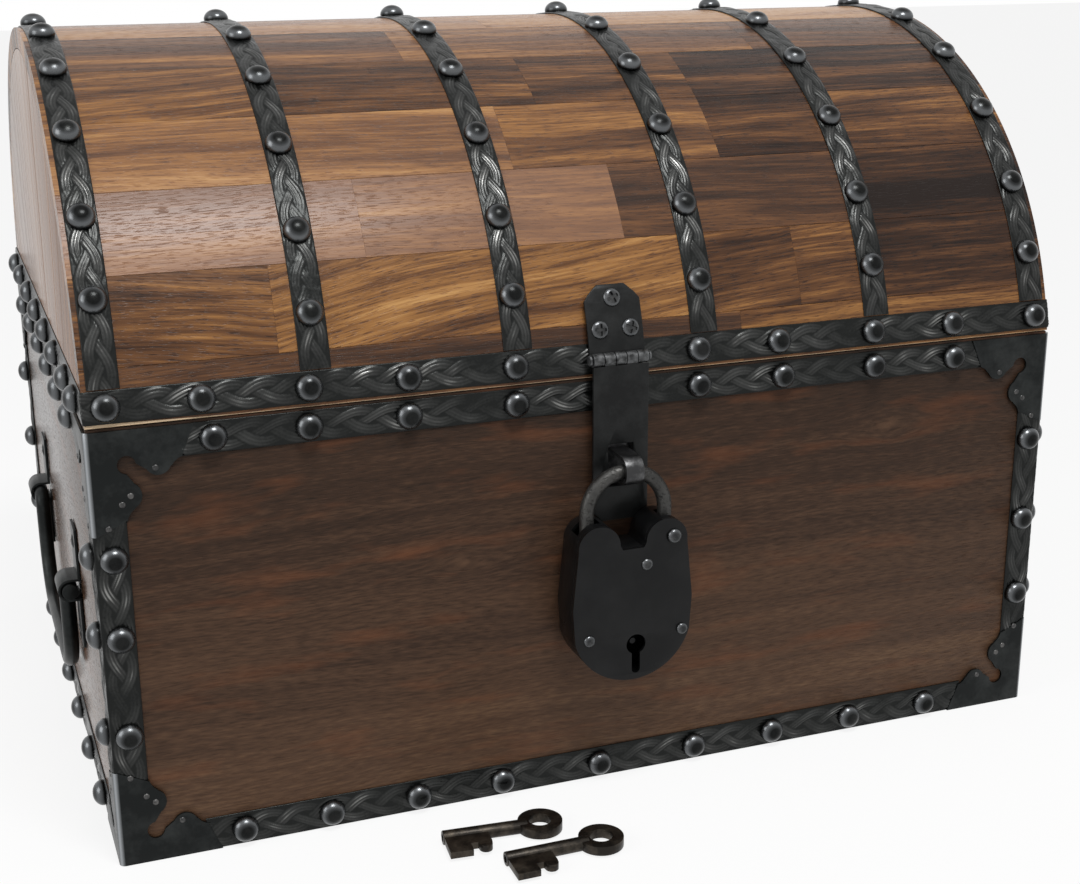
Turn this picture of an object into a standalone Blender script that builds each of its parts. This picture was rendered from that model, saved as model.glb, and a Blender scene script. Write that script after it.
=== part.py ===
"""A treasure chest: a wooden box with a domed lid, iron bands, a hasp, a padlock and two bail handles.

The origin is the centre of the base. X runs along the front, Y towards the back and Z up, in metres.
Each separate piece of the chest is one object. Empties carry the pieces that move and stand on their
joints' axes.
"""
import math

import bmesh
import bpy
from mathutils import Matrix, Vector

# Driving sizes of the wooden box
CHEST_WIDTH = 0.432
CHEST_DEPTH = 0.327
BODY_HEIGHT = 0.185
PANEL_THICKNESS = 0.010
BOTTOM_THICKNESS = 0.009
JOINT_GAP = 0.0003

# The domed lid is part of a cylinder whose axis lies below the seam
SEAM_GAP = 0.0004
LID_SEAM_ANGLE_DEG = 80.3
LID_OVERHANG = 0.0005
LID_BOARD_THICKNESS = 0.009
RIM_BOARD_WIDTH = 0.022
LID_BOARD_PAIRS_PER_SIDE = 3
FACETS_PER_BOARD_PAIR = 5
SLIVER_SHARE = 0.05

# Embossed iron bands, nailed on with domed studs
BAND_GAP = 0.0003
BAND_THICKNESS = 0.0012
ARCH_BAND_WIDTH = 0.0125
ARCH_BAND_EDGE = 0.0020
RIM_BAND_WIDTH = 0.013
LID_RIM_BAND_WIDTH = 0.0125
RIM_REVEAL = 0.0010
LID_RIM_REVEAL = 0.0014
FOOT_BAND_WIDTH = 0.0143
CORNER_STRIP_LEG = 0.0133

# Studs
STUD_RADIUS = 0.0056
STUD_HEIGHT = 0.0045
STUD_SINK = 0.0005
STUD_SIDES = 8
STUD_RINGS = 4
STUD_TO_PLATE = 0.0003
END_STUD_TO_PLATE = 0.0042
BACK_STUDS_PER_SIDE = 4
HINGE_STEPS = (2,)
INNER_BAND_STEPS = (-3, -1, 1, 3)
END_STUDS_PER_SIDE = 3
LID_END_STUD_INSET = 0.0179
CORNER_STUDS = 3
CORNER_STUD_ABOVE_PLATE = 0.0140
CORNER_STUD_BELOW_PLATE = 0.0115

# The studs are nailed on by hand. On the front and the lid they stand at these shares of their row,
# and on the front corners they stray by these heights from an even spacing
LID_RIM_STUD_SHARES = (-1.020, -0.771, -0.531, -0.261, 0.229, 0.455, 0.734, 0.976)
BODY_RIM_STUD_SHARES = (-1.000, -0.776, -0.534, -0.262, 0.229, 0.468, 0.739, 0.983)
FOOT_STUD_SHARES = (-0.984, -0.765, -0.539, -0.312, -0.040, 0.235, 0.472, 0.714, 0.958)
ARCH_STUD_SHARES = (0.899, 0.745, 0.560, 0.372, 0.185, -0.055, -0.262, -0.468, -0.668, -0.854)
FIRST_BAND_STUD_RISE = 0.053
CORNER_STUD_STRAYS = {"front_left": (0.0014, 0.0059, 0.0016), "front_right": (0.0009, 0.0014, 0.0036)}

# Plates that wrap the eight corners of the body
BRACKET_THICKNESS = 0.0010
BRACKET_GAP = 0.0003
BRACKET_ARM = 0.0417
BRACKET_ARM_HEIGHT = 0.0125
BRACKET_ARM_LIP = 0.0035
SCALLOP_RADIUS = 0.0045
LOBE_CENTRE = (0.0265, 0.0140)
LOBE_RADIUS = 0.0055
NOTCH_CENTRE = 0.0123
NOTCH_RADIUS = 0.0034

# Butt hinges at the back
HINGE_WIDTH = 0.036
HINGE_LEAF_HEIGHT = 0.026
HINGE_LEAF_THICKNESS = 0.0014
HINGE_KNUCKLES = 3
KNUCKLE_RADIUS = 0.0030
HINGE_PIN_RADIUS = 0.0015
PIN_CLEARANCE = 0.00025
KNUCKLE_SIDE_GAP = 0.0004
KNUCKLE_SWING_GAP = 0.0005
PIN_HEAD_RADIUS = 0.0022
PIN_HEAD_LENGTH = 0.0008

# Hasp on the front
HASP_X = 0.0005
HASP_WIDTH = 0.025
HASP_LEAF_THICKNESS = 0.0012
HASP_LEAF_LENGTH = 0.0303
HASP_LEAF_CORNER_CUT = 0.0060
HASP_KNUCKLES = 5
HASP_AXIS_ABOVE_SEAM = 0.0079
HASP_AXIS_OFFSET = 0.0037
HASP_KNUCKLE_RADIUS = 0.00275
HASP_PIN_RADIUS = 0.0012
STRAP_THICKNESS = 0.0014
STRAP_OFFSET = 0.0014
STRAP_LENGTH = 0.070
STRAP_CORNER_CUT = 0.0039
SLOT_WIDTH = 0.0115
SLOT_TOP_BELOW_AXIS = 0.0365
SLOT_BOTTOM_BELOW_AXIS = 0.0550
SCREW_HEAD_RADIUS = 0.0039
SCREW_HEAD_HEIGHT = 0.0016
SMALL_DOME_SIDES = 10
HASP_SCREW_SPREAD = 0.0069
HASP_SCREW_ROW_BELOW_TOP = 0.0187
HASP_TOP_SCREW_BELOW_TOP = 0.0057

# Staple that passes through the hasp's slot
STAPLE_WIDTH = 0.0080
STAPLE_THICKNESS = 0.0014
STAPLE_INNER_RADIUS = 0.0048
STAPLE_BELOW_HASP_AXIS = 0.0451
STAPLE_REACH = 0.0154
STAPLE_PLATE_WIDTH = 0.0200
STAPLE_PLATE_HEIGHT = 0.0300
STAPLE_PLATE_THICKNESS = 0.0012

# Padlock: the places below are measured from the middle of the shackle's crown
LOCK_X = -0.0010
LOCK_TO_STRAP = 0.0003
SHACKLE_HANG_CLEARANCE = 0.0012
SHACKLE_ROD_RADIUS = 0.0031
SHACKLE_BEND_RADIUS = 0.0177
SHACKLE_FREE_LEG_DROP = 0.0403
SHACKLE_EYE_RADIUS = 0.0046
SHACKLE_CLEARANCE = 0.0005
FREE_LEG_ROOM_OUTSIDE = 0.0019
FREE_LEG_ROOM_INSIDE = 0.0012
FREE_LEG_SLOT_ABOVE_LOBE_CENTRE = 0.0030
EYE_SLOT_BELOW_PIVOT = 0.0040
CASE_DEPTH = 0.0176
CASE_WALL = 0.0015
CASE_PLATE_THICKNESS = 0.0015
CASE_BOTTOM_RADIUS = 0.0273
CASE_BOTTOM_DROP = 0.0637
CASE_SHOULDER_DROP = 0.0560
CASE_LOBE_RADIUS = 0.0094
CASE_LOBE_X = 0.0153
CASE_LOBE_DROP = 0.0295
CASE_NOTCH_DROP = 0.0316
CASE_NOTCH_HALF_WIDTH = 0.0048
LOCK_PIVOT_X = 0.0185
LOCK_PIVOT_DROP = 0.0281
LOCK_PIVOT_RADIUS = 0.0016
LOCK_RIVET_RADIUS = 0.0025
LOCK_RIVET_HEIGHT = 0.0016
LOCK_PIVOT_HEAD_RADIUS = 0.0032
LOCK_PIVOT_HEAD_HEIGHT = 0.0021
LOCK_PIVOT_HEAD_SIDES = 12
LOCK_PIVOT_IN_HEAD = 0.0005
LOCK_RIVETS = ((0.0062, 0.0393), (0.0229, 0.0710), (-0.0199, 0.0703))
KEYHOLE_X = 0.0015
KEYHOLE_DROP = 0.0749
KEYHOLE_RADIUS = 0.0044
KEYHOLE_SLOT_WIDTH = 0.0038
KEYHOLE_SLOT_LENGTH = 0.0133
KEY_POST_RADIUS = 0.0013
KEY_POST_SETBACK = 0.0020
BOLT_THICKNESS = 0.0030
BOLT_HEIGHT = 0.0048
BOLT_TOP_DROP = 0.0336
BOLT_TAIL_X = 0.0080
BOLT_ARM_WIDTH = 0.0040
BOLT_ARM_DROP = 0.0590
BOLT_THROW = 0.0035
BOLT_TIP_CLEARANCE = 0.0004
BOLT_GUIDE_START_X = -0.0090
BOLT_GUIDE_END_X = 0.0070
BOLT_GUIDE_EDGE_INSET = 0.0006
BOLT_SPRING_LEAF = 0.0005
BOLT_SPRING_RISE = 0.0030
BOLT_SPRING_LENGTH = 0.0120
BOLT_SPRING_X = -0.0056
SPRING_REST_START_X = -0.0100
SPRING_REST_END_X = 0.0007
SPRING_REST_HEIGHT = 0.0020

# Bail handles on both ends
HANDLE_HEIGHT = 0.0895
BAIL_ROD_RADIUS = 0.0035
BAIL_HALF_WIDTH = 0.0580
BAIL_DROP = 0.0490
BAIL_CORNER_RADIUS = 0.0240
BAIL_END_RADIUS = 0.0055
BAIL_END_PAST_SADDLE = 0.0020
BAIL_TO_WALL = 0.0016
SADDLE_CENTRE = 0.0720
SADDLE_WIDTH = 0.0160
SADDLE_HEIGHT = 0.0550
SADDLE_THICKNESS = 0.0012
SADDLE_CLEARANCE = 0.0004

# Keys, lying in front of the chest
KEY_SHANK_RADIUS = 0.0030
KEY_SHANK_LENGTH = 0.0340
KEY_RING_RADIUS = 0.0095
KEY_RING_HOLE_RADIUS = 0.0048
KEY_RING_THICKNESS = 0.0040
KEY_RING_ON_SHANK = 0.0015
KEY_SHANK_BEFORE_HOLE = 0.0010
KEY_BARREL_RADIUS = 0.0017
KEY_BARREL_DEPTH = 0.0140
KEY_BIT_THICKNESS = 0.0030
KEY_BIT_REACH = 0.0150
KEY_STEP_REACH = 0.0138
KEY_WEB_REACH = 0.0098
KEY_BIT_LENGTH = 0.0100
KEY_GAP_LENGTH = 0.0030
KEY_STEP_LENGTH = 0.0060
KEY_1_X = -0.0897
KEY_1_IN_FRONT = 0.0311
KEY_1_TURN_DEG = -5.3
KEY_2_X = -0.0709
KEY_2_IN_FRONT = 0.0563
KEY_2_TURN_DEG = 0.0

# Places that follow from the sizes
HALF_WIDTH = CHEST_WIDTH / 2
HALF_DEPTH = CHEST_DEPTH / 2
LID_BOTTOM = BODY_HEIGHT + SEAM_GAP
BAND_OUTER = BAND_GAP + BAND_THICKNESS
BRACKET_INNER = BAND_OUTER + BRACKET_GAP
BRACKET_OUTER = BRACKET_INNER + BRACKET_THICKNESS
LID_SEAM_ANGLE = math.radians(LID_SEAM_ANGLE_DEG)
LID_RADIUS = (HALF_DEPTH + LID_OVERHANG) / math.sin(LID_SEAM_ANGLE)
LID_CENTRE_HEIGHT = LID_BOTTOM - LID_RADIUS * math.cos(LID_SEAM_ANGLE)
LID_INNER_RADIUS = LID_RADIUS - LID_BOARD_THICKNESS
RIM_BOARD_ANGLE = LID_SEAM_ANGLE - RIM_BOARD_WIDTH / LID_RADIUS
BOARD_PAIR_ANGLE = RIM_BOARD_ANGLE / LID_BOARD_PAIRS_PER_SIDE
ARCH_STEP = BOARD_PAIR_ANGLE / FACETS_PER_BOARD_PAIR
LID_RIM_LOW = LID_BOTTOM + LID_RIM_REVEAL
LID_RIM_HIGH = LID_RIM_LOW + LID_RIM_BAND_WIDTH
BODY_RIM_HIGH = BODY_HEIGHT - RIM_REVEAL
BODY_RIM_LOW = BODY_RIM_HIGH - RIM_BAND_WIDTH
FOOT_LOW = JOINT_GAP
FOOT_HIGH = FOOT_LOW + FOOT_BAND_WIDTH
FRONT_STUD_REACH = HALF_WIDTH - BRACKET_ARM - STUD_TO_PLATE - STUD_RADIUS
BACK_STUD_SPACING = FRONT_STUD_REACH / BACK_STUDS_PER_SIDE
END_STUD_REACH = HALF_DEPTH - BRACKET_ARM - END_STUD_TO_PLATE - STUD_RADIUS
OUTER_BAND_X = HALF_WIDTH - ARCH_BAND_EDGE - ARCH_BAND_WIDTH / 2
HINGE_X = HINGE_STEPS[0] * BACK_STUD_SPACING
HINGE_AXIS_Y = HALF_DEPTH + BAND_OUTER + BAND_GAP + KNUCKLE_RADIUS
HINGE_AXIS_Z = BODY_HEIGHT + SEAM_GAP / 2
LEAF_RADIUS = LID_RADIUS + BAND_OUTER + BAND_GAP
HASP_AXIS_Y = -(HALF_DEPTH + HASP_AXIS_OFFSET)
HASP_AXIS_HEIGHT = LID_BOTTOM + HASP_AXIS_ABOVE_SEAM
STRAP_Y = HASP_AXIS_Y - STRAP_OFFSET
STAPLE_HEIGHT = HASP_AXIS_HEIGHT - STAPLE_BELOW_HASP_AXIS
LOCK_Y = STRAP_Y - STRAP_THICKNESS / 2 - LOCK_TO_STRAP - CASE_DEPTH / 2
LOCK_CROWN_HEIGHT = STAPLE_HEIGHT - STAPLE_INNER_RADIUS + SHACKLE_ROD_RADIUS + SHACKLE_HANG_CLEARANCE
BAIL_AXIS_X = HALF_WIDTH + BAIL_TO_WALL + BAIL_ROD_RADIUS

# Directions that an outline's own axes take in the chest
FACING_FRONT = Matrix(((1, 0, 0), (0, 0, -1), (0, 1, 0))).to_4x4()
FACING_END = Matrix(((0, 0, 1), (1, 0, 0), (0, 1, 0))).to_4x4()
LYING_FLAT = Matrix.Identity(4)

MATERIAL_FINISHES = {
    "walnut_stain": ((0.075, 0.040, 0.024), 0.45, 0.0),
    "lid_board_stain": ((0.200, 0.105, 0.045), 0.30, 0.0),
    "blackened_iron": ((0.040, 0.042, 0.044), 0.42, 0.9),
    "lock_black": ((0.022, 0.023, 0.024), 0.50, 0.7),
    "pin_steel": ((0.120, 0.120, 0.120), 0.35, 1.0),
    "key_bronze": ((0.050, 0.040, 0.033), 0.45, 0.8),
}


def clear_scene():
    for obj in list(bpy.data.objects):
        bpy.data.objects.remove(obj, do_unlink=True)


def make_collection(name):
    collection = bpy.data.collections.new(name)
    bpy.context.scene.collection.children.link(collection)
    return collection


def make_material(name, colour, roughness, metallic):
    material = bpy.data.materials.new(name)
    material.use_nodes = True
    shader = material.node_tree.nodes["Principled BSDF"]
    shader.inputs["Base Color"].default_value = (*colour, 1.0)
    shader.inputs["Roughness"].default_value = roughness
    shader.inputs["Metallic"].default_value = metallic
    material.diffuse_color = (*colour, 1.0)
    return material


def add_object(name, mesh, matrix=LYING_FLAT):
    obj = bpy.data.objects.new(name, mesh)
    obj.matrix_world = matrix
    chest.objects.link(obj)
    return obj


def bake(obj):
    """Give the object its evaluated mesh and take its modifiers off."""
    bpy.context.view_layer.update()
    depsgraph = bpy.context.evaluated_depsgraph_get()
    mesh = bpy.data.meshes.new_from_object(obj.evaluated_get(depsgraph))
    obj.modifiers.clear()
    obj.data = mesh


def combine(target, tool, operation):
    """Join, cut or intersect one object with another, which is used up."""
    modifier = target.modifiers.new(operation, "BOOLEAN")
    modifier.operation = operation
    modifier.object = tool
    bake(target)
    bpy.data.objects.remove(tool, do_unlink=True)


def box(name, low, high):
    """A box between two corners, with its origin in its middle."""
    low, high = Vector(low), Vector(high)
    bm = bmesh.new()
    bmesh.ops.create_cube(bm, size=1.0, matrix=Matrix.Diagonal((*(high - low), 1.0)))
    mesh = bpy.data.meshes.new(name)
    bm.to_mesh(mesh)
    bm.free()
    return add_object(name, mesh, Matrix.Translation((low + high) / 2))


def rod(name, radius, start, end, sides=16, end_radius=None):
    """A round bar or cone from one point to another."""
    start, end = Vector(start), Vector(end)
    bm = bmesh.new()
    bmesh.ops.create_cone(bm, cap_ends=True, segments=sides, radius1=radius,
                          radius2=radius if end_radius is None else end_radius,
                          depth=(end - start).length)
    mesh = bpy.data.meshes.new(name)
    bm.to_mesh(mesh)
    bm.free()
    turn = (end - start).to_track_quat("Z", "Y").to_matrix().to_4x4()
    return add_object(name, mesh, Matrix.Translation((start + end) / 2) @ turn)


def curve_to_mesh(curve_object):
    """Turn a curve object into a mesh object in the same place, with its seams closed."""
    bpy.context.view_layer.update()
    depsgraph = bpy.context.evaluated_depsgraph_get()
    mesh = bpy.data.meshes.new_from_object(curve_object.evaluated_get(depsgraph))
    bm = bmesh.new()
    bm.from_mesh(mesh)
    bmesh.ops.remove_doubles(bm, verts=bm.verts, dist=0.000002)
    bmesh.ops.recalc_face_normals(bm, faces=bm.faces)
    bm.to_mesh(mesh)
    bm.free()
    name, matrix = curve_object.name, curve_object.matrix_world.copy()
    bpy.data.objects.remove(curve_object, do_unlink=True)
    return add_object(name, mesh, matrix)


def plate(name, loops, thickness, facing, middle):
    """A flat piece from its outline, then any holes, around the middle of its thickness."""
    curve = bpy.data.curves.new(name, "CURVE")
    curve.dimensions = "2D"
    curve.fill_mode = "BOTH"
    curve.extrude = thickness / 2
    for loop in loops:
        spline = curve.splines.new("POLY")
        spline.points.add(len(loop) - 1)
        for point, (u, v) in zip(spline.points, loop):
            point.co = (u, v, 0.0, 1.0)
        spline.use_cyclic_u = True
    obj = bpy.data.objects.new(name, curve)
    obj.matrix_world = Matrix.Translation(middle) @ facing
    chest.objects.link(obj)
    return curve_to_mesh(obj)


def bent_rod(name, radius, points, matrix=LYING_FLAT):
    """A round rod along a path of points."""
    curve = bpy.data.curves.new(name, "CURVE")
    curve.dimensions = "3D"
    curve.bevel_depth = radius
    curve.bevel_resolution = 2
    curve.use_fill_caps = True
    spline = curve.splines.new("POLY")
    spline.points.add(len(points) - 1)
    for point, place in zip(spline.points, points):
        point.co = (*place, 1.0)
    obj = bpy.data.objects.new(name, curve)
    obj.matrix_world = matrix
    chest.objects.link(obj)
    return curve_to_mesh(obj)


def arc(centre, radius, start_deg, end_deg, steps):
    """Points along a round stretch of an outline."""
    angles = [math.radians(start_deg + (end_deg - start_deg) * i / steps) for i in range(steps + 1)]
    return [(centre[0] + radius * math.cos(a), centre[1] + radius * math.sin(a)) for a in angles]


def arch_point(radius, angle):
    """Y and Z on the lid's arch. The angle is 0 at the crown and grows towards the front."""
    return -radius * math.sin(angle), LID_CENTRE_HEIGHT + radius * math.cos(angle)


def arch_angle(radius, height):
    """The front angle at which an arch of this radius passes a height."""
    return math.acos((height - LID_CENTRE_HEIGHT) / radius)


def arch_angles(start, end):
    """The angles of an arch strip, kept on one common grid so that stacked arches stay parallel."""
    low, high = min(start, end), max(start, end)
    first = math.floor(low / ARCH_STEP) + 1
    last = math.ceil(high / ARCH_STEP) - 1
    margin = ARCH_STEP * SLIVER_SHARE
    inner = [ARCH_STEP * i for i in range(first, last + 1)]
    return [low] + [a for a in inner if low + margin < a < high - margin] + [high]


def arch_strip(name, x_low, x_high, radius, thickness, start, end):
    """A strip bent over the lid's arch, between two angles."""
    angles = arch_angles(start, end)
    outer = [arch_point(radius + thickness, a) for a in angles]
    inner = [arch_point(radius, a) for a in reversed(angles)]
    middle = ((x_low + x_high) / 2, 0.0, 0.0)
    return plate(name, [outer + inner], x_high - x_low, FACING_END, middle)


def arch_prism(name, half_width, radius, bottom):
    """The full solid under an arch, down to a flat bottom."""
    limit = arch_angle(radius, bottom)
    outline = [arch_point(radius, a) for a in arch_angles(-limit, limit)]
    return plate(name, [outline], 2 * half_width, FACING_END, (0.0, 0.0, 0.0))


def make_dome_mesh(radius, height, sides, rings):
    """A closed dome whose flat base lies at the origin."""
    bm = bmesh.new()
    squash = Matrix.Diagonal((1.0, 1.0, height / radius, 1.0))
    bmesh.ops.create_uvsphere(bm, u_segments=sides, v_segments=rings, radius=radius, matrix=squash)
    geometry = list(bm.verts) + list(bm.edges) + list(bm.faces)
    bmesh.ops.bisect_plane(bm, geom=geometry, plane_co=(0, 0, 0), plane_no=(0, 0, 1), clear_inner=True)
    bmesh.ops.holes_fill(bm, edges=bm.edges, sides=0)
    mesh = bpy.data.meshes.new("dome")
    bm.to_mesh(mesh)
    bm.free()
    return mesh


def domes(name, dome, places):
    """Copies of a dome at several places, each a point on a surface and the way it faces."""
    bm = bmesh.new()
    for point, normal in places:
        before = len(bm.verts)
        bm.from_mesh(dome)
        bm.verts.ensure_lookup_table()
        turn = Vector(normal).to_track_quat("Z", "Y").to_matrix().to_4x4()
        bmesh.ops.transform(bm, matrix=Matrix.Translation(point) @ turn, verts=bm.verts[before:])
    mesh = bpy.data.meshes.new(name)
    bm.to_mesh(mesh)
    bm.free()
    return add_object(name, mesh)


def add_studs(band, places):
    """Set domed studs on a band, sunk a little so that they join it."""
    sunk = [(Vector(point) - STUD_SINK * Vector(normal), normal) for point, normal in places]
    combine(band, domes("studs", stud_mesh, sunk), "UNION")


def finish(obj, material_name, parent=None):
    """Give a finished piece its material and shading, and hang it on its joint's empty."""
    for polygon in obj.data.polygons:
        polygon.material_index = 0
    obj.data.materials.clear()
    obj.data.materials.append(materials[material_name])
    obj.data.shade_smooth()
    obj.data.set_sharp_from_angle(angle=math.radians(32))
    if parent is not None:
        obj.parent = parent
        obj.matrix_parent_inverse = parent.matrix_world.inverted()
    return obj


def make_axis(name, place, parent=None):
    """An empty on a joint's axis."""
    empty = bpy.data.objects.new(name, None)
    empty.empty_display_size = 0.02
    empty.location = place
    chest.objects.link(empty)
    bpy.context.view_layer.update()
    if parent is not None:
        empty.parent = parent
        empty.matrix_parent_inverse = parent.matrix_world.inverted()
        bpy.context.view_layer.update()
    return empty


def body_panels():
    """Four walls and a bottom: the front and back run past the ends, and the bottom lies inside."""
    inner_x = HALF_WIDTH - PANEL_THICKNESS
    inner_y = HALF_DEPTH - PANEL_THICKNESS
    end_y = inner_y - JOINT_GAP
    finish(box("front_panel", (-HALF_WIDTH, -HALF_DEPTH, 0), (HALF_WIDTH, -inner_y, BODY_HEIGHT)),
           "walnut_stain")
    finish(box("back_panel", (-HALF_WIDTH, inner_y, 0), (HALF_WIDTH, HALF_DEPTH, BODY_HEIGHT)),
           "walnut_stain")
    finish(box("left_end_panel", (-HALF_WIDTH, -end_y, 0), (-inner_x, end_y, BODY_HEIGHT)),
           "walnut_stain")
    finish(box("right_end_panel", (inner_x, -end_y, 0), (HALF_WIDTH, end_y, BODY_HEIGHT)),
           "walnut_stain")
    bottom_x = inner_x - JOINT_GAP
    finish(box("bottom_panel", (-bottom_x, -end_y, 0), (bottom_x, end_y, BOTTOM_THICKNESS)),
           "walnut_stain")


def lid_wood(lid_axis):
    """Two end boards, glued pairs of staves over the arch and a narrow rim board at each long edge."""
    end_radius = LID_INNER_RADIUS - JOINT_GAP
    for name, side in (("lid_left_end", -1), ("lid_right_end", 1)):
        end = arch_prism(name, PANEL_THICKNESS / 2, end_radius, LID_BOTTOM)
        end.location.x = side * (HALF_WIDTH - PANEL_THICKNESS / 2)
        finish(end, "lid_board_stain", lid_axis)
    gap = JOINT_GAP / LID_RADIUS / 2
    for number in range(2 * LID_BOARD_PAIRS_PER_SIDE):
        start = RIM_BOARD_ANGLE - number * BOARD_PAIR_ANGLE
        board = arch_strip(f"lid_board_{number + 1}", -HALF_WIDTH, HALF_WIDTH, LID_INNER_RADIUS,
                           LID_BOARD_THICKNESS, start - gap, start - BOARD_PAIR_ANGLE + gap)
        finish(board, "lid_board_stain", lid_axis)
    for name, side in (("lid_rim_board_front", 1), ("lid_rim_board_back", -1)):
        rim = arch_prism(name, HALF_WIDTH, LID_RADIUS, LID_BOTTOM)
        combine(rim, arch_prism("inside", HALF_WIDTH + PANEL_THICKNESS, LID_INNER_RADIUS,
                                LID_BOTTOM - PANEL_THICKNESS), "DIFFERENCE")
        combine(rim, rim_wedge(side, RIM_BOARD_ANGLE + gap), "INTERSECT")
        finish(rim, "lid_board_stain", lid_axis)


def rim_wedge(side, edge_angle):
    """The space below the last pair of staves, on one side of the lid."""
    reach = 2 * LID_RADIUS
    centre = (0.0, LID_CENTRE_HEIGHT)
    along = (-side * reach * math.sin(edge_angle), LID_CENTRE_HEIGHT + reach * math.cos(edge_angle))
    outline = [centre, along, (-side * reach, LID_CENTRE_HEIGHT)]
    return plate("wedge", [outline], CHEST_WIDTH + PANEL_THICKNESS, FACING_END, (0.0, 0.0, 0.0))


def arch_bands(lid_axis):
    """Six studded bands over the lid. Their ends meet the rim band's upper edge."""
    inner = LID_RADIUS + BAND_GAP
    outer = inner + BAND_THICKNESS
    end = arch_angle(inner, LID_RIM_HIGH + BAND_GAP)
    inner_bands = [k * BACK_STUD_SPACING for k in INNER_BAND_STEPS]
    for number, x in enumerate([-OUTER_BAND_X] + inner_bands + [OUTER_BAND_X], start=1):
        band = arch_strip(f"lid_band_{number}", x - ARCH_BAND_WIDTH / 2, x + ARCH_BAND_WIDTH / 2,
                          inner, BAND_THICKNESS, -end, end)
        places = []
        for share in ARCH_STUD_SHARES:
            rise = FIRST_BAND_STUD_RISE if number == 1 and share > 0 else 0.0
            angle = (share - rise) * end
            y, z = arch_point(facet_radius(outer, angle), angle)
            places.append(((x, y, z), (0.0, -math.sin(angle), math.cos(angle))))
        add_studs(band, places)
        finish(band, "blackened_iron", lid_axis)


def facet_radius(radius, angle):
    """How far the faceted arch lies from its centre at an angle."""
    past = (angle / ARCH_STEP) % 1.0 - 0.5
    return radius * math.cos(ARCH_STEP / 2) / math.cos(past * ARCH_STEP)


def ring(name, low, high):
    """A strap bent round the four walls of the body, between two heights."""
    outer_x, outer_y = HALF_WIDTH + BAND_OUTER, HALF_DEPTH + BAND_OUTER
    inner_x, inner_y = HALF_WIDTH + BAND_GAP, HALF_DEPTH + BAND_GAP
    outer = [(-outer_x, -outer_y), (outer_x, -outer_y), (outer_x, outer_y), (-outer_x, outer_y)]
    inner = [(-inner_x, -inner_y), (inner_x, -inner_y), (inner_x, inner_y), (-inner_x, inner_y)]
    return plate(name, [outer, inner], high - low, LYING_FLAT, (0.0, 0.0, (low + high) / 2))


def end_stud_places():
    """Y of the studs on an end, evenly spaced between the corner plates, none in the middle."""
    spacing = END_STUD_REACH / (END_STUDS_PER_SIDE - 1 / 2)
    half = [(k + 1 / 2) * spacing for k in range(END_STUDS_PER_SIDE)]
    return [-y for y in reversed(half)] + half


def front_stud_places(shares):
    """X of the studs on the front, from their shares of the row."""
    return [share * FRONT_STUD_REACH for share in shares]


def back_stud_places(skipped):
    """X of the studs on the back, evenly spaced, without the steps that are skipped on both sides."""
    steps = range(-BACK_STUDS_PER_SIDE, BACK_STUDS_PER_SIDE + 1)
    return [k * BACK_STUD_SPACING for k in steps if abs(k) not in skipped]


def body_row(height, front, back):
    """Stud places round the body at one height, with the X of those on the front and the back."""
    out_x, out_y = HALF_WIDTH + BAND_OUTER, HALF_DEPTH + BAND_OUTER
    places = [((x, -out_y, height), (0, -1, 0)) for x in front]
    places += [((x, out_y, height), (0, 1, 0)) for x in back]
    for side in (-1, 1):
        places += [((side * out_x, y, height), (side, 0, 0)) for y in end_stud_places()]
    return places


def body_bands():
    """The rim band and the foot band, and an angle strip up each corner between them."""
    rim = ring("body_rim_band", BODY_RIM_LOW, BODY_RIM_HIGH)
    add_studs(rim, body_row((BODY_RIM_LOW + BODY_RIM_HIGH) / 2, front_stud_places(BODY_RIM_STUD_SHARES),
                            back_stud_places(HINGE_STEPS)))
    finish(rim, "blackened_iron")
    foot = ring("foot_band", FOOT_LOW, FOOT_HIGH)
    add_studs(foot, body_row((FOOT_LOW + FOOT_HIGH) / 2, front_stud_places(FOOT_STUD_SHARES),
                             back_stud_places(())))
    finish(foot, "blackened_iron")


def corner_strips():
    """Angle strips up the four corners, between the foot band and the rim band."""
    low, high = FOOT_HIGH + BAND_GAP, BODY_RIM_LOW - BAND_GAP
    out_x, out_y = HALF_WIDTH + BAND_OUTER, HALF_DEPTH + BAND_OUTER
    in_x, in_y = HALF_WIDTH + BAND_GAP, HALF_DEPTH + BAND_GAP
    end_x, end_y = HALF_WIDTH - CORNER_STRIP_LEG, HALF_DEPTH - CORNER_STRIP_LEG
    stud_x = HALF_WIDTH - CORNER_STRIP_LEG / 2
    stud_y = HALF_DEPTH - CORNER_STRIP_LEG / 2
    stud_low = FOOT_LOW + BRACKET_ARM + CORNER_STUD_ABOVE_PLATE
    stud_high = BODY_RIM_HIGH - BRACKET_ARM - CORNER_STUD_BELOW_PLATE
    stud_step = (stud_high - stud_low) / (CORNER_STUDS - 1)
    for name, side, facing in corners():
        outline = [(end_x, out_y), (out_x, out_y), (out_x, end_y), (in_x, end_y), (in_x, in_y), (end_x, in_y)]
        outline = [(side * u, facing * v) for u, v in outline]
        strip = plate(f"corner_strip_{name}", [outline], high - low, LYING_FLAT, (0, 0, (low + high) / 2))
        places = []
        strays = CORNER_STUD_STRAYS.get(name, (0.0,) * CORNER_STUDS)
        for k, stray in enumerate(strays):
            z = stud_low + k * stud_step + stray
            places.append(((side * stud_x, facing * out_y, z), (0, facing, 0)))
            places.append(((side * out_x, facing * stud_y, z), (side, 0, 0)))
        add_studs(strip, places)
        finish(strip, "blackened_iron")


def corners():
    """The name of each upright corner, its side along X and the way it faces along Y."""
    return (("front_left", -1, -1), ("front_right", 1, -1), ("back_left", -1, 1), ("back_right", 1, 1))


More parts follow.
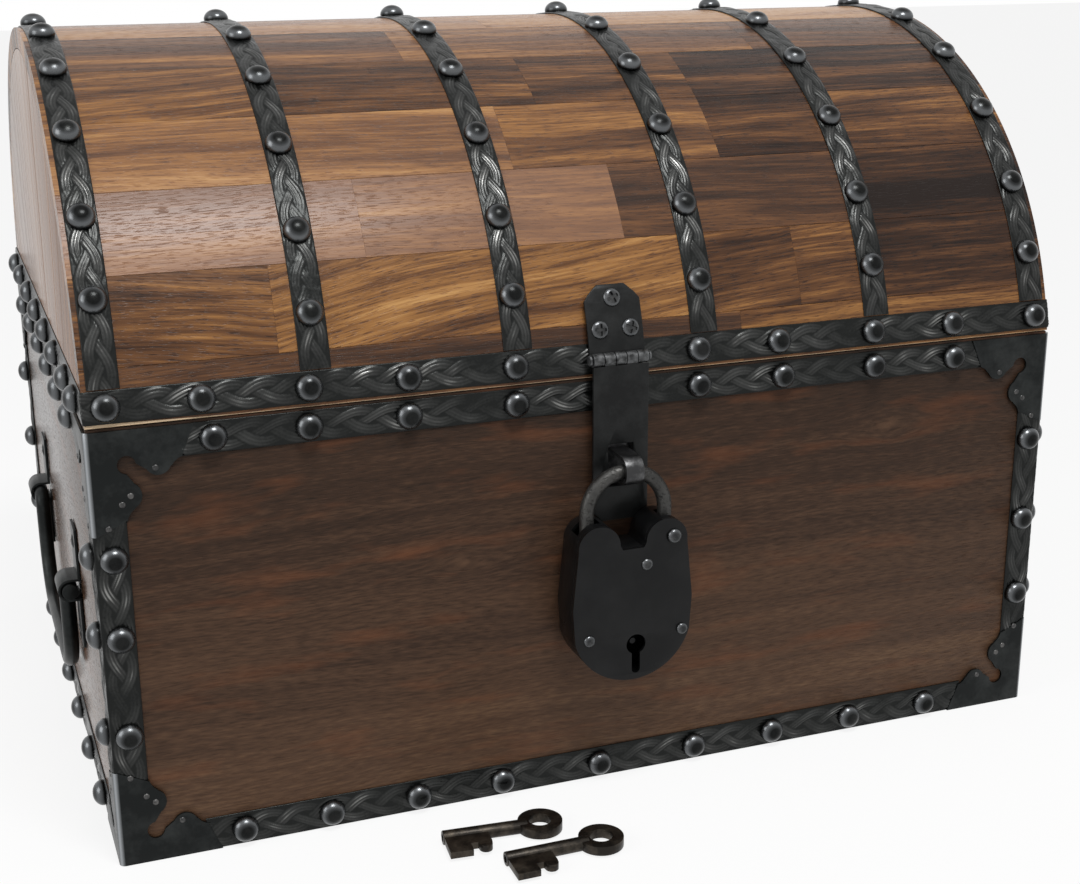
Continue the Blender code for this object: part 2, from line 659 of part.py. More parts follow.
def bracket_outline():
    """One face of a corner plate, from its corner along each edge: two lobes and a round notch."""
    arm_end = (BRACKET_ARM, BRACKET_ARM_HEIGHT)
    scallop_centre = (BRACKET_ARM - BRACKET_ARM_LIP, BRACKET_ARM_HEIGHT + SCALLOP_RADIUS)
    half = [(BRACKET_ARM, -BRACKET_OUTER), arm_end]
    half += arc(scallop_centre, SCALLOP_RADIUS, 270, 185, 4)
    half += arc(LOBE_CENTRE, LOBE_RADIUS, 30, 165, 5)
    half += arc((NOTCH_CENTRE, NOTCH_CENTRE), NOTCH_RADIUS, -45, -135, 3)
    mirrored = [(v, u) for u, v in reversed(half[:-1])]
    return [(-BRACKET_OUTER, -BRACKET_OUTER)] + half + mirrored


def corner_brackets():
    """Plates that wrap the body's corners, at the rim and at the foot."""
    for level, edge, up in (("top", BODY_RIM_HIGH, -1), ("bottom", FOOT_LOW, 1)):
        for name, side, facing in corners():
            # The outline's edge distance counts from the wall's corner, and its height from this edge
            face = [(side * (HALF_WIDTH - u), edge + up * max(v, 0.0)) for u, v in bracket_outline()]
            end = [(facing * (HALF_DEPTH - u), edge + up * max(v, 0.0)) for u, v in bracket_outline()]
            face_y = facing * (HALF_DEPTH + (BRACKET_INNER + BRACKET_OUTER) / 2)
            end_x = side * (HALF_WIDTH + (BRACKET_INNER + BRACKET_OUTER) / 2)
            bracket = plate(f"corner_bracket_{level}_{name}", [face], BRACKET_THICKNESS, FACING_FRONT,
                            (0.0, face_y, 0.0))
            wing = plate("wing", [end], BRACKET_THICKNESS, FACING_END, (end_x, 0.0, 0.0))
            combine(bracket, wing, "UNION")
            finish(bracket, "blackened_iron")


def lid_rim_band(lid_axis):
    """A studded strap round the lid's lower edge, following the arch at front and back."""
    band = arch_prism("lid_rim_band", HALF_WIDTH + BAND_OUTER, LID_RADIUS + BAND_OUTER, LID_RIM_LOW)
    inside = arch_prism("inside", HALF_WIDTH + BAND_GAP, LID_RADIUS + BAND_GAP, LID_BOTTOM)
    combine(band, inside, "DIFFERENCE")
    reach = CHEST_WIDTH
    slab = box("slab", (-reach, -reach, LID_BOTTOM - BAND_OUTER), (reach, reach, LID_RIM_HIGH))
    combine(band, slab, "INTERSECT")
    middle = (LID_RIM_LOW + LID_RIM_HIGH) / 2
    outer = LID_RADIUS + BAND_OUTER
    angle = arch_angle(outer, middle)
    y, z = arch_point(outer, angle)
    corner_studs = [-OUTER_BAND_X, OUTER_BAND_X]
    front = front_stud_places(LID_RIM_STUD_SHARES) + corner_studs
    back = back_stud_places(HINGE_STEPS) + corner_studs
    places = [((x, y, z), (0, -math.sin(angle), math.cos(angle))) for x in front]
    places += [((x, -y, z), (0, math.sin(angle), math.cos(angle))) for x in back]
    last = HALF_DEPTH - LID_END_STUD_INSET
    for side in (-1, 1):
        for end_y in [-last] + end_stud_places() + [last]:
            places.append(((side * (HALF_WIDTH + BAND_OUTER), end_y, middle), (side, 0, 0)))
    add_studs(band, places)
    finish(band, "blackened_iron", lid_axis)


def knuckles(name, axis_point, radius, spans, sides=14):
    """Round knuckles along X on an axis, each between two X values, as one object per span."""
    made = []
    for low, high in spans:
        start = (low, axis_point[0], axis_point[1])
        end = (high, axis_point[0], axis_point[1])
        made.append(rod(name, radius, start, end, sides))
    return made


def add_barrel(leaf, axis_point, radius, own_spans, other_spans, pin_radius):
    """Give a leaf its knuckles, clear the other leaf's knuckles and bore it for the pin."""
    cleared = [(low - KNUCKLE_SIDE_GAP, high + KNUCKLE_SIDE_GAP) for low, high in other_spans]
    for cutter in knuckles("swing_space", axis_point, radius + KNUCKLE_SWING_GAP, cleared, 24):
        combine(leaf, cutter, "DIFFERENCE")
    for knuckle in knuckles("knuckle", axis_point, radius, own_spans):
        combine(leaf, knuckle, "UNION")
    reach = CHEST_WIDTH / 2
    bore = knuckles("bore", axis_point, pin_radius + PIN_CLEARANCE, [(-reach, reach)], 12)[0]
    combine(leaf, bore, "DIFFERENCE")


def headed_pin(name, axis_point, pin_radius, low, high):
    """A plain pin with a small head at each end, just outside the barrel."""
    shank_low = (low - PIN_HEAD_LENGTH - KNUCKLE_SIDE_GAP, *axis_point)
    shank_high = (high + PIN_HEAD_LENGTH + KNUCKLE_SIDE_GAP, *axis_point)
    pin = rod(name, pin_radius, shank_low, shank_high, 12)
    for end, inner in ((shank_low, low - KNUCKLE_SIDE_GAP), (shank_high, high + KNUCKLE_SIDE_GAP)):
        head = rod("head", PIN_HEAD_RADIUS, end, (inner, *axis_point), 12)
        combine(pin, head, "UNION")
    return pin


def split_barrel(low, high, count):
    """Alternate knuckles along a barrel: the first list has the outer ones."""
    step = (high - low) / count
    spans = []
    for i in range(count):
        spans.append((low + i * step + KNUCKLE_SIDE_GAP / 2, low + (i + 1) * step - KNUCKLE_SIDE_GAP / 2))
    return spans[0::2], spans[1::2]


def rear_hinges(lid_axis):
    """Two butt hinges over the rim bands at the back."""
    axis_point = (HINGE_AXIS_Y, HINGE_AXIS_Z)
    leaf_y = HALF_DEPTH + BAND_OUTER + BAND_GAP
    overlap = KNUCKLE_RADIUS - HINGE_PIN_RADIUS - PIN_CLEARANCE
    for name, x in (("left", -HINGE_X), ("right", HINGE_X)):
        low, high = x - HINGE_WIDTH / 2, x + HINGE_WIDTH / 2
        outer_spans, inner_spans = split_barrel(low, high, HINGE_KNUCKLES)
        top = HINGE_AXIS_Z - overlap
        body_leaf = box(f"hinge_{name}_body_leaf", (low, leaf_y, top - HINGE_LEAF_HEIGHT),
                        (high, leaf_y + HINGE_LEAF_THICKNESS, top))
        add_barrel(body_leaf, axis_point, KNUCKLE_RADIUS, outer_spans, inner_spans, HINGE_PIN_RADIUS)
        finish(body_leaf, "blackened_iron")
        start = arch_angle(LEAF_RADIUS, HINGE_AXIS_Z + overlap)
        end = start - HINGE_LEAF_HEIGHT / LEAF_RADIUS
        lid_leaf = arch_strip(f"hinge_{name}_lid_leaf", low, high, LEAF_RADIUS, HINGE_LEAF_THICKNESS,
                              -start, -end)
        add_barrel(lid_leaf, axis_point, KNUCKLE_RADIUS, inner_spans, outer_spans, HINGE_PIN_RADIUS)
        finish(lid_leaf, "blackened_iron", lid_axis)
        finish(headed_pin(f"hinge_{name}_pin", axis_point, HINGE_PIN_RADIUS, low, high), "pin_steel")


def hasp_pieces(lid_axis, hasp_axis):
    """The hasp's leaf on the lid, its slotted strap and the pin between them."""
    axis_point = (HASP_AXIS_Y, HASP_AXIS_HEIGHT)
    low, high = HASP_X - HASP_WIDTH / 2, HASP_X + HASP_WIDTH / 2
    outer_spans, inner_spans = split_barrel(low, high, HASP_KNUCKLES)
    start = arch_angle(LEAF_RADIUS, HASP_AXIS_HEIGHT)
    end = start - HASP_LEAF_LENGTH / LEAF_RADIUS
    leaf = arch_strip("hasp_lid_leaf", low, high, LEAF_RADIUS, HASP_LEAF_THICKNESS, start, end)
    top_z = arch_point(LEAF_RADIUS, end)[1]
    cut = HASP_LEAF_CORNER_CUT
    for side in (-1, 1):
        edge = HASP_X + side * HASP_WIDTH / 2
        # The triangle runs past the corner by its own cut, so that it clears both edges
        triangle = [(edge - side * 2 * cut, top_z + cut), (edge + side * cut, top_z + cut),
                    (edge + side * cut, top_z - 2 * cut)]
        corner = plate("corner", [triangle], 2 * LEAF_RADIUS, FACING_FRONT, (0, 0, 0))
        combine(leaf, corner, "DIFFERENCE")
    add_barrel(leaf, axis_point, HASP_KNUCKLE_RADIUS, outer_spans, inner_spans, HASP_PIN_RADIUS)
    screw = make_dome_mesh(SCREW_HEAD_RADIUS, SCREW_HEAD_HEIGHT + STUD_SINK, SMALL_DOME_SIDES, STUD_RINGS)
    row = end + HASP_SCREW_ROW_BELOW_TOP / LEAF_RADIUS
    top = end + HASP_TOP_SCREW_BELOW_TOP / LEAF_RADIUS
    heads = []
    for x, angle in ((-HASP_SCREW_SPREAD, row), (HASP_SCREW_SPREAD, row), (0.0, top)):
        y, z = arch_point(LEAF_RADIUS + HASP_LEAF_THICKNESS - STUD_SINK, angle)
        heads.append(((HASP_X + x, y, z), (0.0, -math.sin(angle), math.cos(angle))))
    combine(leaf, domes("screw_heads", screw, heads), "UNION")
    finish(leaf, "lock_black", lid_axis)

    top_edge = HASP_AXIS_HEIGHT
    bottom_edge = HASP_AXIS_HEIGHT - STRAP_LENGTH
    cut = STRAP_CORNER_CUT
    outline = [(low, top_edge), (low, bottom_edge + cut), (low + cut, bottom_edge),
               (high - cut, bottom_edge), (high, bottom_edge + cut), (high, top_edge)]
    slot_low = HASP_AXIS_HEIGHT - SLOT_BOTTOM_BELOW_AXIS
    slot_high = HASP_AXIS_HEIGHT - SLOT_TOP_BELOW_AXIS
    slot_left, slot_right = HASP_X - SLOT_WIDTH / 2, HASP_X + SLOT_WIDTH / 2
    slot = [(slot_left, slot_low), (slot_right, slot_low), (slot_right, slot_high), (slot_left, slot_high)]
    strap = plate("hasp_strap", [outline, slot], STRAP_THICKNESS, FACING_FRONT, (0.0, STRAP_Y, 0.0))
    add_barrel(strap, axis_point, HASP_KNUCKLE_RADIUS, inner_spans, outer_spans, HASP_PIN_RADIUS)
    finish(strap, "lock_black", hasp_axis)
    finish(headed_pin("hasp_pin", axis_point, HASP_PIN_RADIUS, low, high), "pin_steel", lid_axis)


def hasp_staple():
    """A strip bent into a loop, on a plate that is screwed to the front under the strap."""
    wall = -HALF_DEPTH - JOINT_GAP
    nose = -HALF_DEPTH - STAPLE_REACH
    outer_radius = STAPLE_INNER_RADIUS + STAPLE_THICKNESS
    outer = [(wall, STAPLE_HEIGHT - outer_radius)]
    outer += arc((nose, STAPLE_HEIGHT), outer_radius, 270, 90, 10)
    outer += [(wall, STAPLE_HEIGHT + outer_radius), (wall, STAPLE_HEIGHT + STAPLE_INNER_RADIUS)]
    inner = arc((nose, STAPLE_HEIGHT), STAPLE_INNER_RADIUS, 90, 270, 10)
    inner += [(wall, STAPLE_HEIGHT - STAPLE_INNER_RADIUS)]
    staple = plate("hasp_staple", [outer + inner], STAPLE_WIDTH, FACING_END, (HASP_X, 0.0, 0.0))
    half_width, half_height = STAPLE_PLATE_WIDTH / 2, STAPLE_PLATE_HEIGHT / 2
    base = box("base", (HASP_X - half_width, wall - STAPLE_PLATE_THICKNESS, STAPLE_HEIGHT - half_height),
               (HASP_X + half_width, wall, STAPLE_HEIGHT + half_height))
    combine(staple, base, "UNION")
    finish(staple, "lock_black")


def case_outline(inset):
    """The padlock's outline: a round foot, tapering sides and two lobes with a notch between."""
    foot_radius = CASE_BOTTOM_RADIUS - inset
    lobe_radius = CASE_LOBE_RADIUS - inset
    points = arc((0.0, -CASE_BOTTOM_DROP), foot_radius, 196, 344, 16)
    points.append((foot_radius, -CASE_SHOULDER_DROP))
    points += arc((CASE_LOBE_X, -CASE_LOBE_DROP), lobe_radius, -6, 180, 10)
    notch_half = CASE_NOTCH_HALF_WIDTH + inset
    points += [(notch_half, -CASE_NOTCH_DROP - inset), (-notch_half, -CASE_NOTCH_DROP - inset)]
    points += arc((-CASE_LOBE_X, -CASE_LOBE_DROP), lobe_radius, 0, 186, 10)
    points.append((-foot_radius, -CASE_SHOULDER_DROP))
    return points


def in_lock(points):
    """Move points from the padlock's own frame to the chest's."""
    return [(LOCK_X + u, LOCK_CROWN_HEIGHT + v) for u, v in points]


def lock_box(name, low, high):
    """A box in the padlock's frame: X, depth behind the shackle's plane and height."""
    return box(name, (LOCK_X + low[0], LOCK_Y + low[1], LOCK_CROWN_HEIGHT + low[2]),
               (LOCK_X + high[0], LOCK_Y + high[1], LOCK_CROWN_HEIGHT + high[2]))


def lock_rod(name, radius, x, drop, start, end, sides=12):
    """A round bar through the padlock's depth, at a place on its face."""
    place = (LOCK_X + x, LOCK_CROWN_HEIGHT - drop)
    return rod(name, radius, (place[0], LOCK_Y + start, place[1]), (place[0], LOCK_Y + end, place[1]), sides)


def padlock_shackle(swing_axis):
    """A bent rod with an eye at its pivot and a notch for the bolt in its free leg."""
    bend = arc((0.0, -SHACKLE_BEND_RADIUS), SHACKLE_BEND_RADIUS, 0, 180, 14)
    path = [(SHACKLE_BEND_RADIUS, -LOCK_PIVOT_DROP)] + bend + [(-SHACKLE_BEND_RADIUS, -SHACKLE_FREE_LEG_DROP)]
    points = [(LOCK_X + u, LOCK_Y, LOCK_CROWN_HEIGHT + v) for u, v in path]
    shackle = bent_rod("padlock_shackle", SHACKLE_ROD_RADIUS, points)
    eye = lock_rod("eye", SHACKLE_EYE_RADIUS, LOCK_PIVOT_X, LOCK_PIVOT_DROP,
                   -SHACKLE_ROD_RADIUS, SHACKLE_ROD_RADIUS, 16)
    combine(shackle, eye, "UNION")
    bore = lock_rod("bore", LOCK_PIVOT_RADIUS + PIN_CLEARANCE, LOCK_PIVOT_X, LOCK_PIVOT_DROP,
                    -CASE_DEPTH, CASE_DEPTH)
    combine(shackle, bore, "DIFFERENCE")
    notch_top = -BOLT_TOP_DROP + JOINT_GAP
    notch_bottom = -BOLT_TOP_DROP - BOLT_HEIGHT - JOINT_GAP
    inner_side = -SHACKLE_BEND_RADIUS + SHACKLE_ROD_RADIUS
    notch = lock_box("notch", (inner_side - BOLT_THROW, -CASE_DEPTH / 2, notch_bottom),
                     (0.0, CASE_DEPTH / 2, notch_top))
    combine(shackle, notch, "DIFFERENCE")
    finish(shackle, "blackened_iron", swing_axis)


def padlock_case(case_axis):
    """The back plate and rim of the padlock as one cup, with its key post and the bolt's guide."""
    front = -CASE_DEPTH / 2 + CASE_PLATE_THICKNESS + JOINT_GAP
    back = CASE_DEPTH / 2
    floor = back - CASE_PLATE_THICKNESS
    case = plate("padlock_case", [in_lock(case_outline(0.0))], back - front, FACING_FRONT,
                 (0.0, LOCK_Y + (front + back) / 2, 0.0))
    hollow = plate("hollow", [in_lock(case_outline(CASE_WALL))], CASE_DEPTH, FACING_FRONT,
                   (0.0, LOCK_Y + floor - CASE_DEPTH / 2, 0.0))
    combine(case, hollow, "DIFFERENCE")
    slot = SHACKLE_ROD_RADIUS + SHACKLE_CLEARANCE
    leg = -SHACKLE_BEND_RADIUS
    leg_slot_end = -CASE_LOBE_DROP + FREE_LEG_SLOT_ABOVE_LOBE_CENTRE
    free_leg_space = lock_box("free_leg_space", (leg - slot - FREE_LEG_ROOM_OUTSIDE, -slot, leg_slot_end),
                              (leg + slot + FREE_LEG_ROOM_INSIDE, slot, 0.0))
    combine(case, free_leg_space, "DIFFERENCE")
    eye_slot_end = -LOCK_PIVOT_DROP - EYE_SLOT_BELOW_PIVOT
    eye_space = lock_box("eye_space", (SHACKLE_BEND_RADIUS - slot, -slot, eye_slot_end),
                         (CASE_BOTTOM_RADIUS + slot, slot, 0.0))
    combine(case, eye_space, "DIFFERENCE")
    in_floor = floor + CASE_PLATE_THICKNESS / 2
    guide_low = -BOLT_TOP_DROP - BOLT_HEIGHT + BOLT_GUIDE_EDGE_INSET
    guide_high = -BOLT_TOP_DROP - BOLT_GUIDE_EDGE_INSET
    guide = lock_box("guide", (BOLT_GUIDE_START_X, BOLT_THICKNESS / 2 + JOINT_GAP, guide_low),
                     (BOLT_GUIDE_END_X, in_floor, guide_high))
    combine(case, guide, "UNION")
    rest_top = -BOLT_TOP_DROP - BOLT_HEIGHT - BOLT_SPRING_RISE - BOLT_SPRING_LEAF - 2 * JOINT_GAP
    spring_rest = lock_box("spring_rest",
                           (SPRING_REST_START_X, -BOLT_THICKNESS / 2, rest_top - SPRING_REST_HEIGHT),
                           (SPRING_REST_END_X, in_floor, rest_top))
    combine(case, spring_rest, "UNION")
    post = lock_rod("post", KEY_POST_RADIUS, KEYHOLE_X, KEYHOLE_DROP, front + KEY_POST_SETBACK,
                    in_floor, 10)
    combine(case, post, "UNION")
    hole = lock_rod("hole", LOCK_PIVOT_RADIUS + PIN_CLEARANCE, LOCK_PIVOT_X, LOCK_PIVOT_DROP, 0.0, CASE_DEPTH)
    combine(case, hole, "DIFFERENCE")
    finish(case, "lock_black", case_axis)


def padlock_front_plate(case_axis):
    """The face plate, with its keyhole, the pivot's hole and three rivet heads."""
    face = -CASE_DEPTH / 2
    half_slot = KEYHOLE_SLOT_WIDTH / 2
    slot_angle = math.degrees(math.asin(half_slot / KEYHOLE_RADIUS))
    centre = (KEYHOLE_X, -KEYHOLE_DROP)
    keyhole = arc(centre, KEYHOLE_RADIUS, 270 + slot_angle, 630 - slot_angle, 14)
    keyhole += [(KEYHOLE_X - half_slot, -KEYHOLE_DROP - KEYHOLE_SLOT_LENGTH),
                (KEYHOLE_X + half_slot, -KEYHOLE_DROP - KEYHOLE_SLOT_LENGTH)]
    pivot = arc((LOCK_PIVOT_X, -LOCK_PIVOT_DROP), LOCK_PIVOT_RADIUS + PIN_CLEARANCE, 0, 330, 11)
    loops = [in_lock(case_outline(0.0)), in_lock(keyhole), in_lock(pivot)]
    front = plate("padlock_front_plate", loops, CASE_PLATE_THICKNESS, FACING_FRONT,
                  (0.0, LOCK_Y + face + CASE_PLATE_THICKNESS / 2, 0.0))
    rivet = make_dome_mesh(LOCK_RIVET_RADIUS, LOCK_RIVET_HEIGHT + STUD_SINK, SMALL_DOME_SIDES, STUD_RINGS)
    heads = []
    for x, drop in LOCK_RIVETS:
        heads.append(((LOCK_X + x, LOCK_Y + face + STUD_SINK, LOCK_CROWN_HEIGHT - drop), (0, -1, 0)))
    combine(front, domes("rivets", rivet, heads), "UNION")
    finish(front, "lock_black", case_axis)


def padlock_pivot_pin(case_axis):
    """The rivet on which the case turns, with its domed head in front."""
    face = -CASE_DEPTH / 2
    pin = lock_rod("padlock_pivot_pin", LOCK_PIVOT_RADIUS, LOCK_PIVOT_X, LOCK_PIVOT_DROP,
                   face - JOINT_GAP - LOCK_PIVOT_IN_HEAD, CASE_DEPTH / 2)
    head = make_dome_mesh(LOCK_PIVOT_HEAD_RADIUS, LOCK_PIVOT_HEAD_HEIGHT, LOCK_PIVOT_HEAD_SIDES,
                          STUD_RINGS)
    place = (LOCK_X + LOCK_PIVOT_X, LOCK_Y + face - JOINT_GAP, LOCK_CROWN_HEIGHT - LOCK_PIVOT_DROP)
    combine(pin, domes("head", head, [(place, (0, -1, 0))]), "UNION")
    finish(pin, "pin_steel", case_axis)


def padlock_bolt(bolt_axis):
    """The sliding bolt: a bar that enters the shackle's notch, with an arm that the key pushes."""
    tip = -SHACKLE_BEND_RADIUS + SHACKLE_ROD_RADIUS + BOLT_TIP_CLEARANCE
    bottom = -BOLT_TOP_DROP - BOLT_HEIGHT
    outline = [(tip, bottom), (BOLT_TAIL_X - BOLT_ARM_WIDTH, bottom),
               (BOLT_TAIL_X - BOLT_ARM_WIDTH, -BOLT_ARM_DROP), (BOLT_TAIL_X, -BOLT_ARM_DROP),
               (BOLT_TAIL_X, -BOLT_TOP_DROP), (tip, -BOLT_TOP_DROP)]
    bolt = plate("padlock_bolt", [in_lock(outline)], BOLT_THICKNESS, FACING_FRONT, (0.0, LOCK_Y, 0.0))
    finish(bolt, "pin_steel", bolt_axis)


def padlock_spring(case_axis):
    """A bowed leaf that presses on the bolt's lower edge, so that it stays where the key leaves it."""
    half = BOLT_SPRING_LENGTH / 2
    crown = -BOLT_TOP_DROP - BOLT_HEIGHT - JOINT_GAP
    radius = (half ** 2 + BOLT_SPRING_RISE ** 2) / (2 * BOLT_SPRING_RISE)
    centre = (BOLT_SPRING_X, crown - radius)
    spread = math.degrees(math.asin(half / radius))
    outer = arc(centre, radius, 90 - spread, 90 + spread, 8)
    inner = arc(centre, radius - BOLT_SPRING_LEAF, 90 + spread, 90 - spread, 8)
    spring = plate("padlock_spring", [in_lock(outer + inner)], BOLT_THICKNESS, FACING_FRONT,
                   (0.0, LOCK_Y, 0.0))
    finish(spring, "pin_steel", case_axis)


def saddle_outline():
    """A strap's profile over the handle's rod, from the wall outwards."""
    wall = HALF_WIDTH + JOINT_GAP
    inner_radius = BAIL_ROD_RADIUS + SADDLE_CLEARANCE
    outer_radius = inner_radius + SADDLE_THICKNESS
    foot = SADDLE_HEIGHT / 2
    centre = (BAIL_AXIS_X, HANDLE_HEIGHT)
    outline = [(wall, HANDLE_HEIGHT - foot), (wall + SADDLE_THICKNESS, HANDLE_HEIGHT - foot),
               (wall + SADDLE_THICKNESS, HANDLE_HEIGHT - outer_radius)]
    outline += arc(centre, outer_radius, -90, 90, 10)
    outline += [(wall + SADDLE_THICKNESS, HANDLE_HEIGHT + outer_radius),
                (wall + SADDLE_THICKNESS, HANDLE_HEIGHT + foot), (wall, HANDLE_HEIGHT + foot),
                (wall, HANDLE_HEIGHT + inner_radius)]
    outline += arc(centre, inner_radius, 90, -90, 10)
    outline += [(wall, HANDLE_HEIGHT - inner_radius)]
    return outline


def bail_path():
    """Half of the handle's rod, from its outer end through the saddle and down to the middle."""
    end = SADDLE_CENTRE + SADDLE_WIDTH / 2 + BAIL_END_PAST_SADDLE
    top_bend = arc((BAIL_HALF_WIDTH + BAIL_END_RADIUS, HANDLE_HEIGHT - BAIL_END_RADIUS), BAIL_END_RADIUS,
                   90, 180, 4)
    low_centre = (BAIL_HALF_WIDTH - BAIL_CORNER_RADIUS, HANDLE_HEIGHT - BAIL_DROP + BAIL_CORNER_RADIUS)
    low_bend = arc(low_centre, BAIL_CORNER_RADIUS, 0, -90, 7)
    return [(end, HANDLE_HEIGHT)] + top_bend + low_bend


def handle(side_name, side, bail_axis):
    """A bail and the two saddles that hold it on one end of the chest."""
    half = bail_path()
    path = half + [(-u, v) for u, v in reversed(half)]
    points = [(side * BAIL_AXIS_X, y, z) for y, z in path]
    bail = bent_rod(f"{side_name}_handle_bail", BAIL_ROD_RADIUS, points)
    finish(bail, "blackened_iron", bail_axis)
    facing = Matrix(((side, 0, 0), (0, 0, -side), (0, 1, 0))).to_4x4()
    for place, y in (("front", -SADDLE_CENTRE), ("back", SADDLE_CENTRE)):
        saddle = plate(f"{side_name}_handle_saddle_{place}", [saddle_outline()], SADDLE_WIDTH, facing,
                       (0.0, y, 0.0))
        finish(saddle, "blackened_iron")


def key_outline():
    """The key's bit below its shank, from the tip: a wide tooth, a gap and a narrow tooth."""
    step_start = KEY_BIT_LENGTH + KEY_GAP_LENGTH
    step_end = step_start + KEY_STEP_LENGTH
    return [(0.0, 0.0), (0.0, -KEY_BIT_REACH), (KEY_BIT_LENGTH, -KEY_BIT_REACH),
            (KEY_BIT_LENGTH, -KEY_WEB_REACH), (step_start, -KEY_WEB_REACH),
            (step_start, -KEY_STEP_REACH), (step_end, -KEY_STEP_REACH), (step_end, 0.0)]


def make_key(number, place, key_axis):
    """A barrel key that lies on the floor: hollow shank, ring bow and two-toothed bit."""
    x, y, turn_deg = place
    ring_centre = KEY_SHANK_LENGTH + KEY_RING_RADIUS - KEY_RING_ON_SHANK
    shank_end = ring_centre - KEY_RING_HOLE_RADIUS - KEY_SHANK_BEFORE_HOLE
    key = rod(f"key_{number}", KEY_SHANK_RADIUS, (0, 0, KEY_SHANK_RADIUS),
              (shank_end, 0, KEY_SHANK_RADIUS), 12)
    outer = arc((ring_centre, 0.0), KEY_RING_RADIUS, 0, 345, 23)
    inner = arc((ring_centre, 0.0), KEY_RING_HOLE_RADIUS, 0, 340, 17)
    middle = (0.0, 0.0, KEY_SHANK_RADIUS)
    combine(key, plate("bow", [outer, inner], KEY_RING_THICKNESS, LYING_FLAT, middle), "UNION")
    combine(key, plate("bit", [key_outline()], KEY_BIT_THICKNESS, LYING_FLAT, middle), "UNION")
    barrel = rod("barrel", KEY_BARREL_RADIUS, (-KEY_BARREL_RADIUS, 0, KEY_SHANK_RADIUS),
                 (KEY_BARREL_DEPTH, 0, KEY_SHANK_RADIUS), 10)
    combine(key, barrel, "DIFFERENCE")
    placed = Matrix.Translation((x, y, 0.0)) @ Matrix.Rotation(math.radians(turn_deg), 4, "Z")
    key.matrix_world = placed @ key.matrix_world
    bpy.context.view_layer.update()
    finish(key, "key_bronze", key_axis)


def build_chest():
    body_panels()
    body_bands()
    corner_strips()
    corner_brackets()
    lid_axis = make_axis("lid_hinge_axis", (0.0, HINGE_AXIS_Y, HINGE_AXIS_Z))
    lid_wood(lid_axis)
    arch_bands(lid_axis)
    lid_rim_band(lid_axis)
    rear_hinges(lid_axis)
    hasp_axis = make_axis("hasp_axis", (HASP_X, HASP_AXIS_Y, HASP_AXIS_HEIGHT), lid_axis)
    hasp_pieces(lid_axis, hasp_axis)
    hasp_staple()
    swing_axis = make_axis("shackle_swing_axis", (HASP_X, LOCK_Y, LOCK_CROWN_HEIGHT))
    padlock_shackle(swing_axis)
    pivot = (LOCK_X + LOCK_PIVOT_X, LOCK_Y, LOCK_CROWN_HEIGHT - LOCK_PIVOT_DROP)
    case_axis = make_axis("lock_case_pivot_axis", pivot, swing_axis)
    padlock_case(case_axis)
    padlock_front_plate(case_axis)
    padlock_pivot_pin(case_axis)
    padlock_spring(case_axis)
    bolt_axis = make_axis("bolt_slide_axis", (LOCK_X, LOCK_Y, LOCK_CROWN_HEIGHT - BOLT_TOP_DROP), case_axis)
    padlock_bolt(bolt_axis)
    for side_name, side in (("left", -1), ("right", 1)):
        bail_axis = make_axis(f"{side_name}_bail_axis", (side * BAIL_AXIS_X, 0.0, HANDLE_HEIGHT))
        handle(side_name, side, bail_axis)
    key_places = ((KEY_1_X, -HALF_DEPTH - KEY_1_IN_FRONT, KEY_1_TURN_DEG),
                  (KEY_2_X, -HALF_DEPTH - KEY_2_IN_FRONT, KEY_2_TURN_DEG))
    for number, place in enumerate(key_places, start=1):
        key_axis = make_axis(f"key_{number}_lift_axis", (place[0], place[1], 0.0))
        make_key(number, place, key_axis)


clear_scene()
chest = make_collection("treasure_chest")
materials = {name: make_material(name, *finish_values) for name, finish_values in MATERIAL_FINISHES.items()}
stud_mesh = make_dome_mesh(STUD_RADIUS, STUD_HEIGHT + STUD_SINK, STUD_SIDES, STUD_RINGS)
build_chest()
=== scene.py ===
"""Finishes a treasure chest: stained staves and panels, embossed iron straps, studs, hasp and padlock.

Metres, X along the front, Y towards the back, Z up. Flat pieces are drawn flat and then bent over the
lid's arch or round a corner. Straps are grids of points raised into a plait.
"""

import math

import bmesh
import bpy
import numpy as np
from mathutils import Matrix, Vector


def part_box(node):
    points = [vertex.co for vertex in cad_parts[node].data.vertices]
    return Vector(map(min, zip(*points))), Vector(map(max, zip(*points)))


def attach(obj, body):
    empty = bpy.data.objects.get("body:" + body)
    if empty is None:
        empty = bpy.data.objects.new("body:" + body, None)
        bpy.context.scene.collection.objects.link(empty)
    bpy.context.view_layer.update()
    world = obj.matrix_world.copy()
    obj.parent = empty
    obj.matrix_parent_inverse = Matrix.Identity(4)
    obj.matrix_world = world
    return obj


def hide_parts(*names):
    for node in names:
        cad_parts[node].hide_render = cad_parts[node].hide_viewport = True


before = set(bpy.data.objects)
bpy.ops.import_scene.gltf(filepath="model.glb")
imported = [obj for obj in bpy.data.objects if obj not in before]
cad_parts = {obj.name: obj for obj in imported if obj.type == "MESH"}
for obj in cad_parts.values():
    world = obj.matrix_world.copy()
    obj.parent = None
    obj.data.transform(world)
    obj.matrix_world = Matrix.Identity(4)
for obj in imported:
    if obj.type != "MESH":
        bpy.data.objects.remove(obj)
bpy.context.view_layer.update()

# The wooden box and the arch of its lid, from the frame
front_low, front_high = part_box("front_panel")
rim_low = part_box("lid_rim_board_front")[0]
HALF_WIDTH = front_high.x
HALF_DEPTH = -front_low.y
BODY_HEIGHT = front_high.z
LID_BOTTOM = rim_low.z
LID_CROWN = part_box("lid_board_3")[1].z
LID_RISE = LID_CROWN - LID_BOTTOM
LID_RADIUS = (rim_low.y ** 2 + LID_RISE ** 2) / (2 * LID_RISE)
LID_CENTRE_Z = LID_CROWN - LID_RADIUS
SEAM = (BODY_HEIGHT + LID_BOTTOM) / 2
GAP = 0.0003
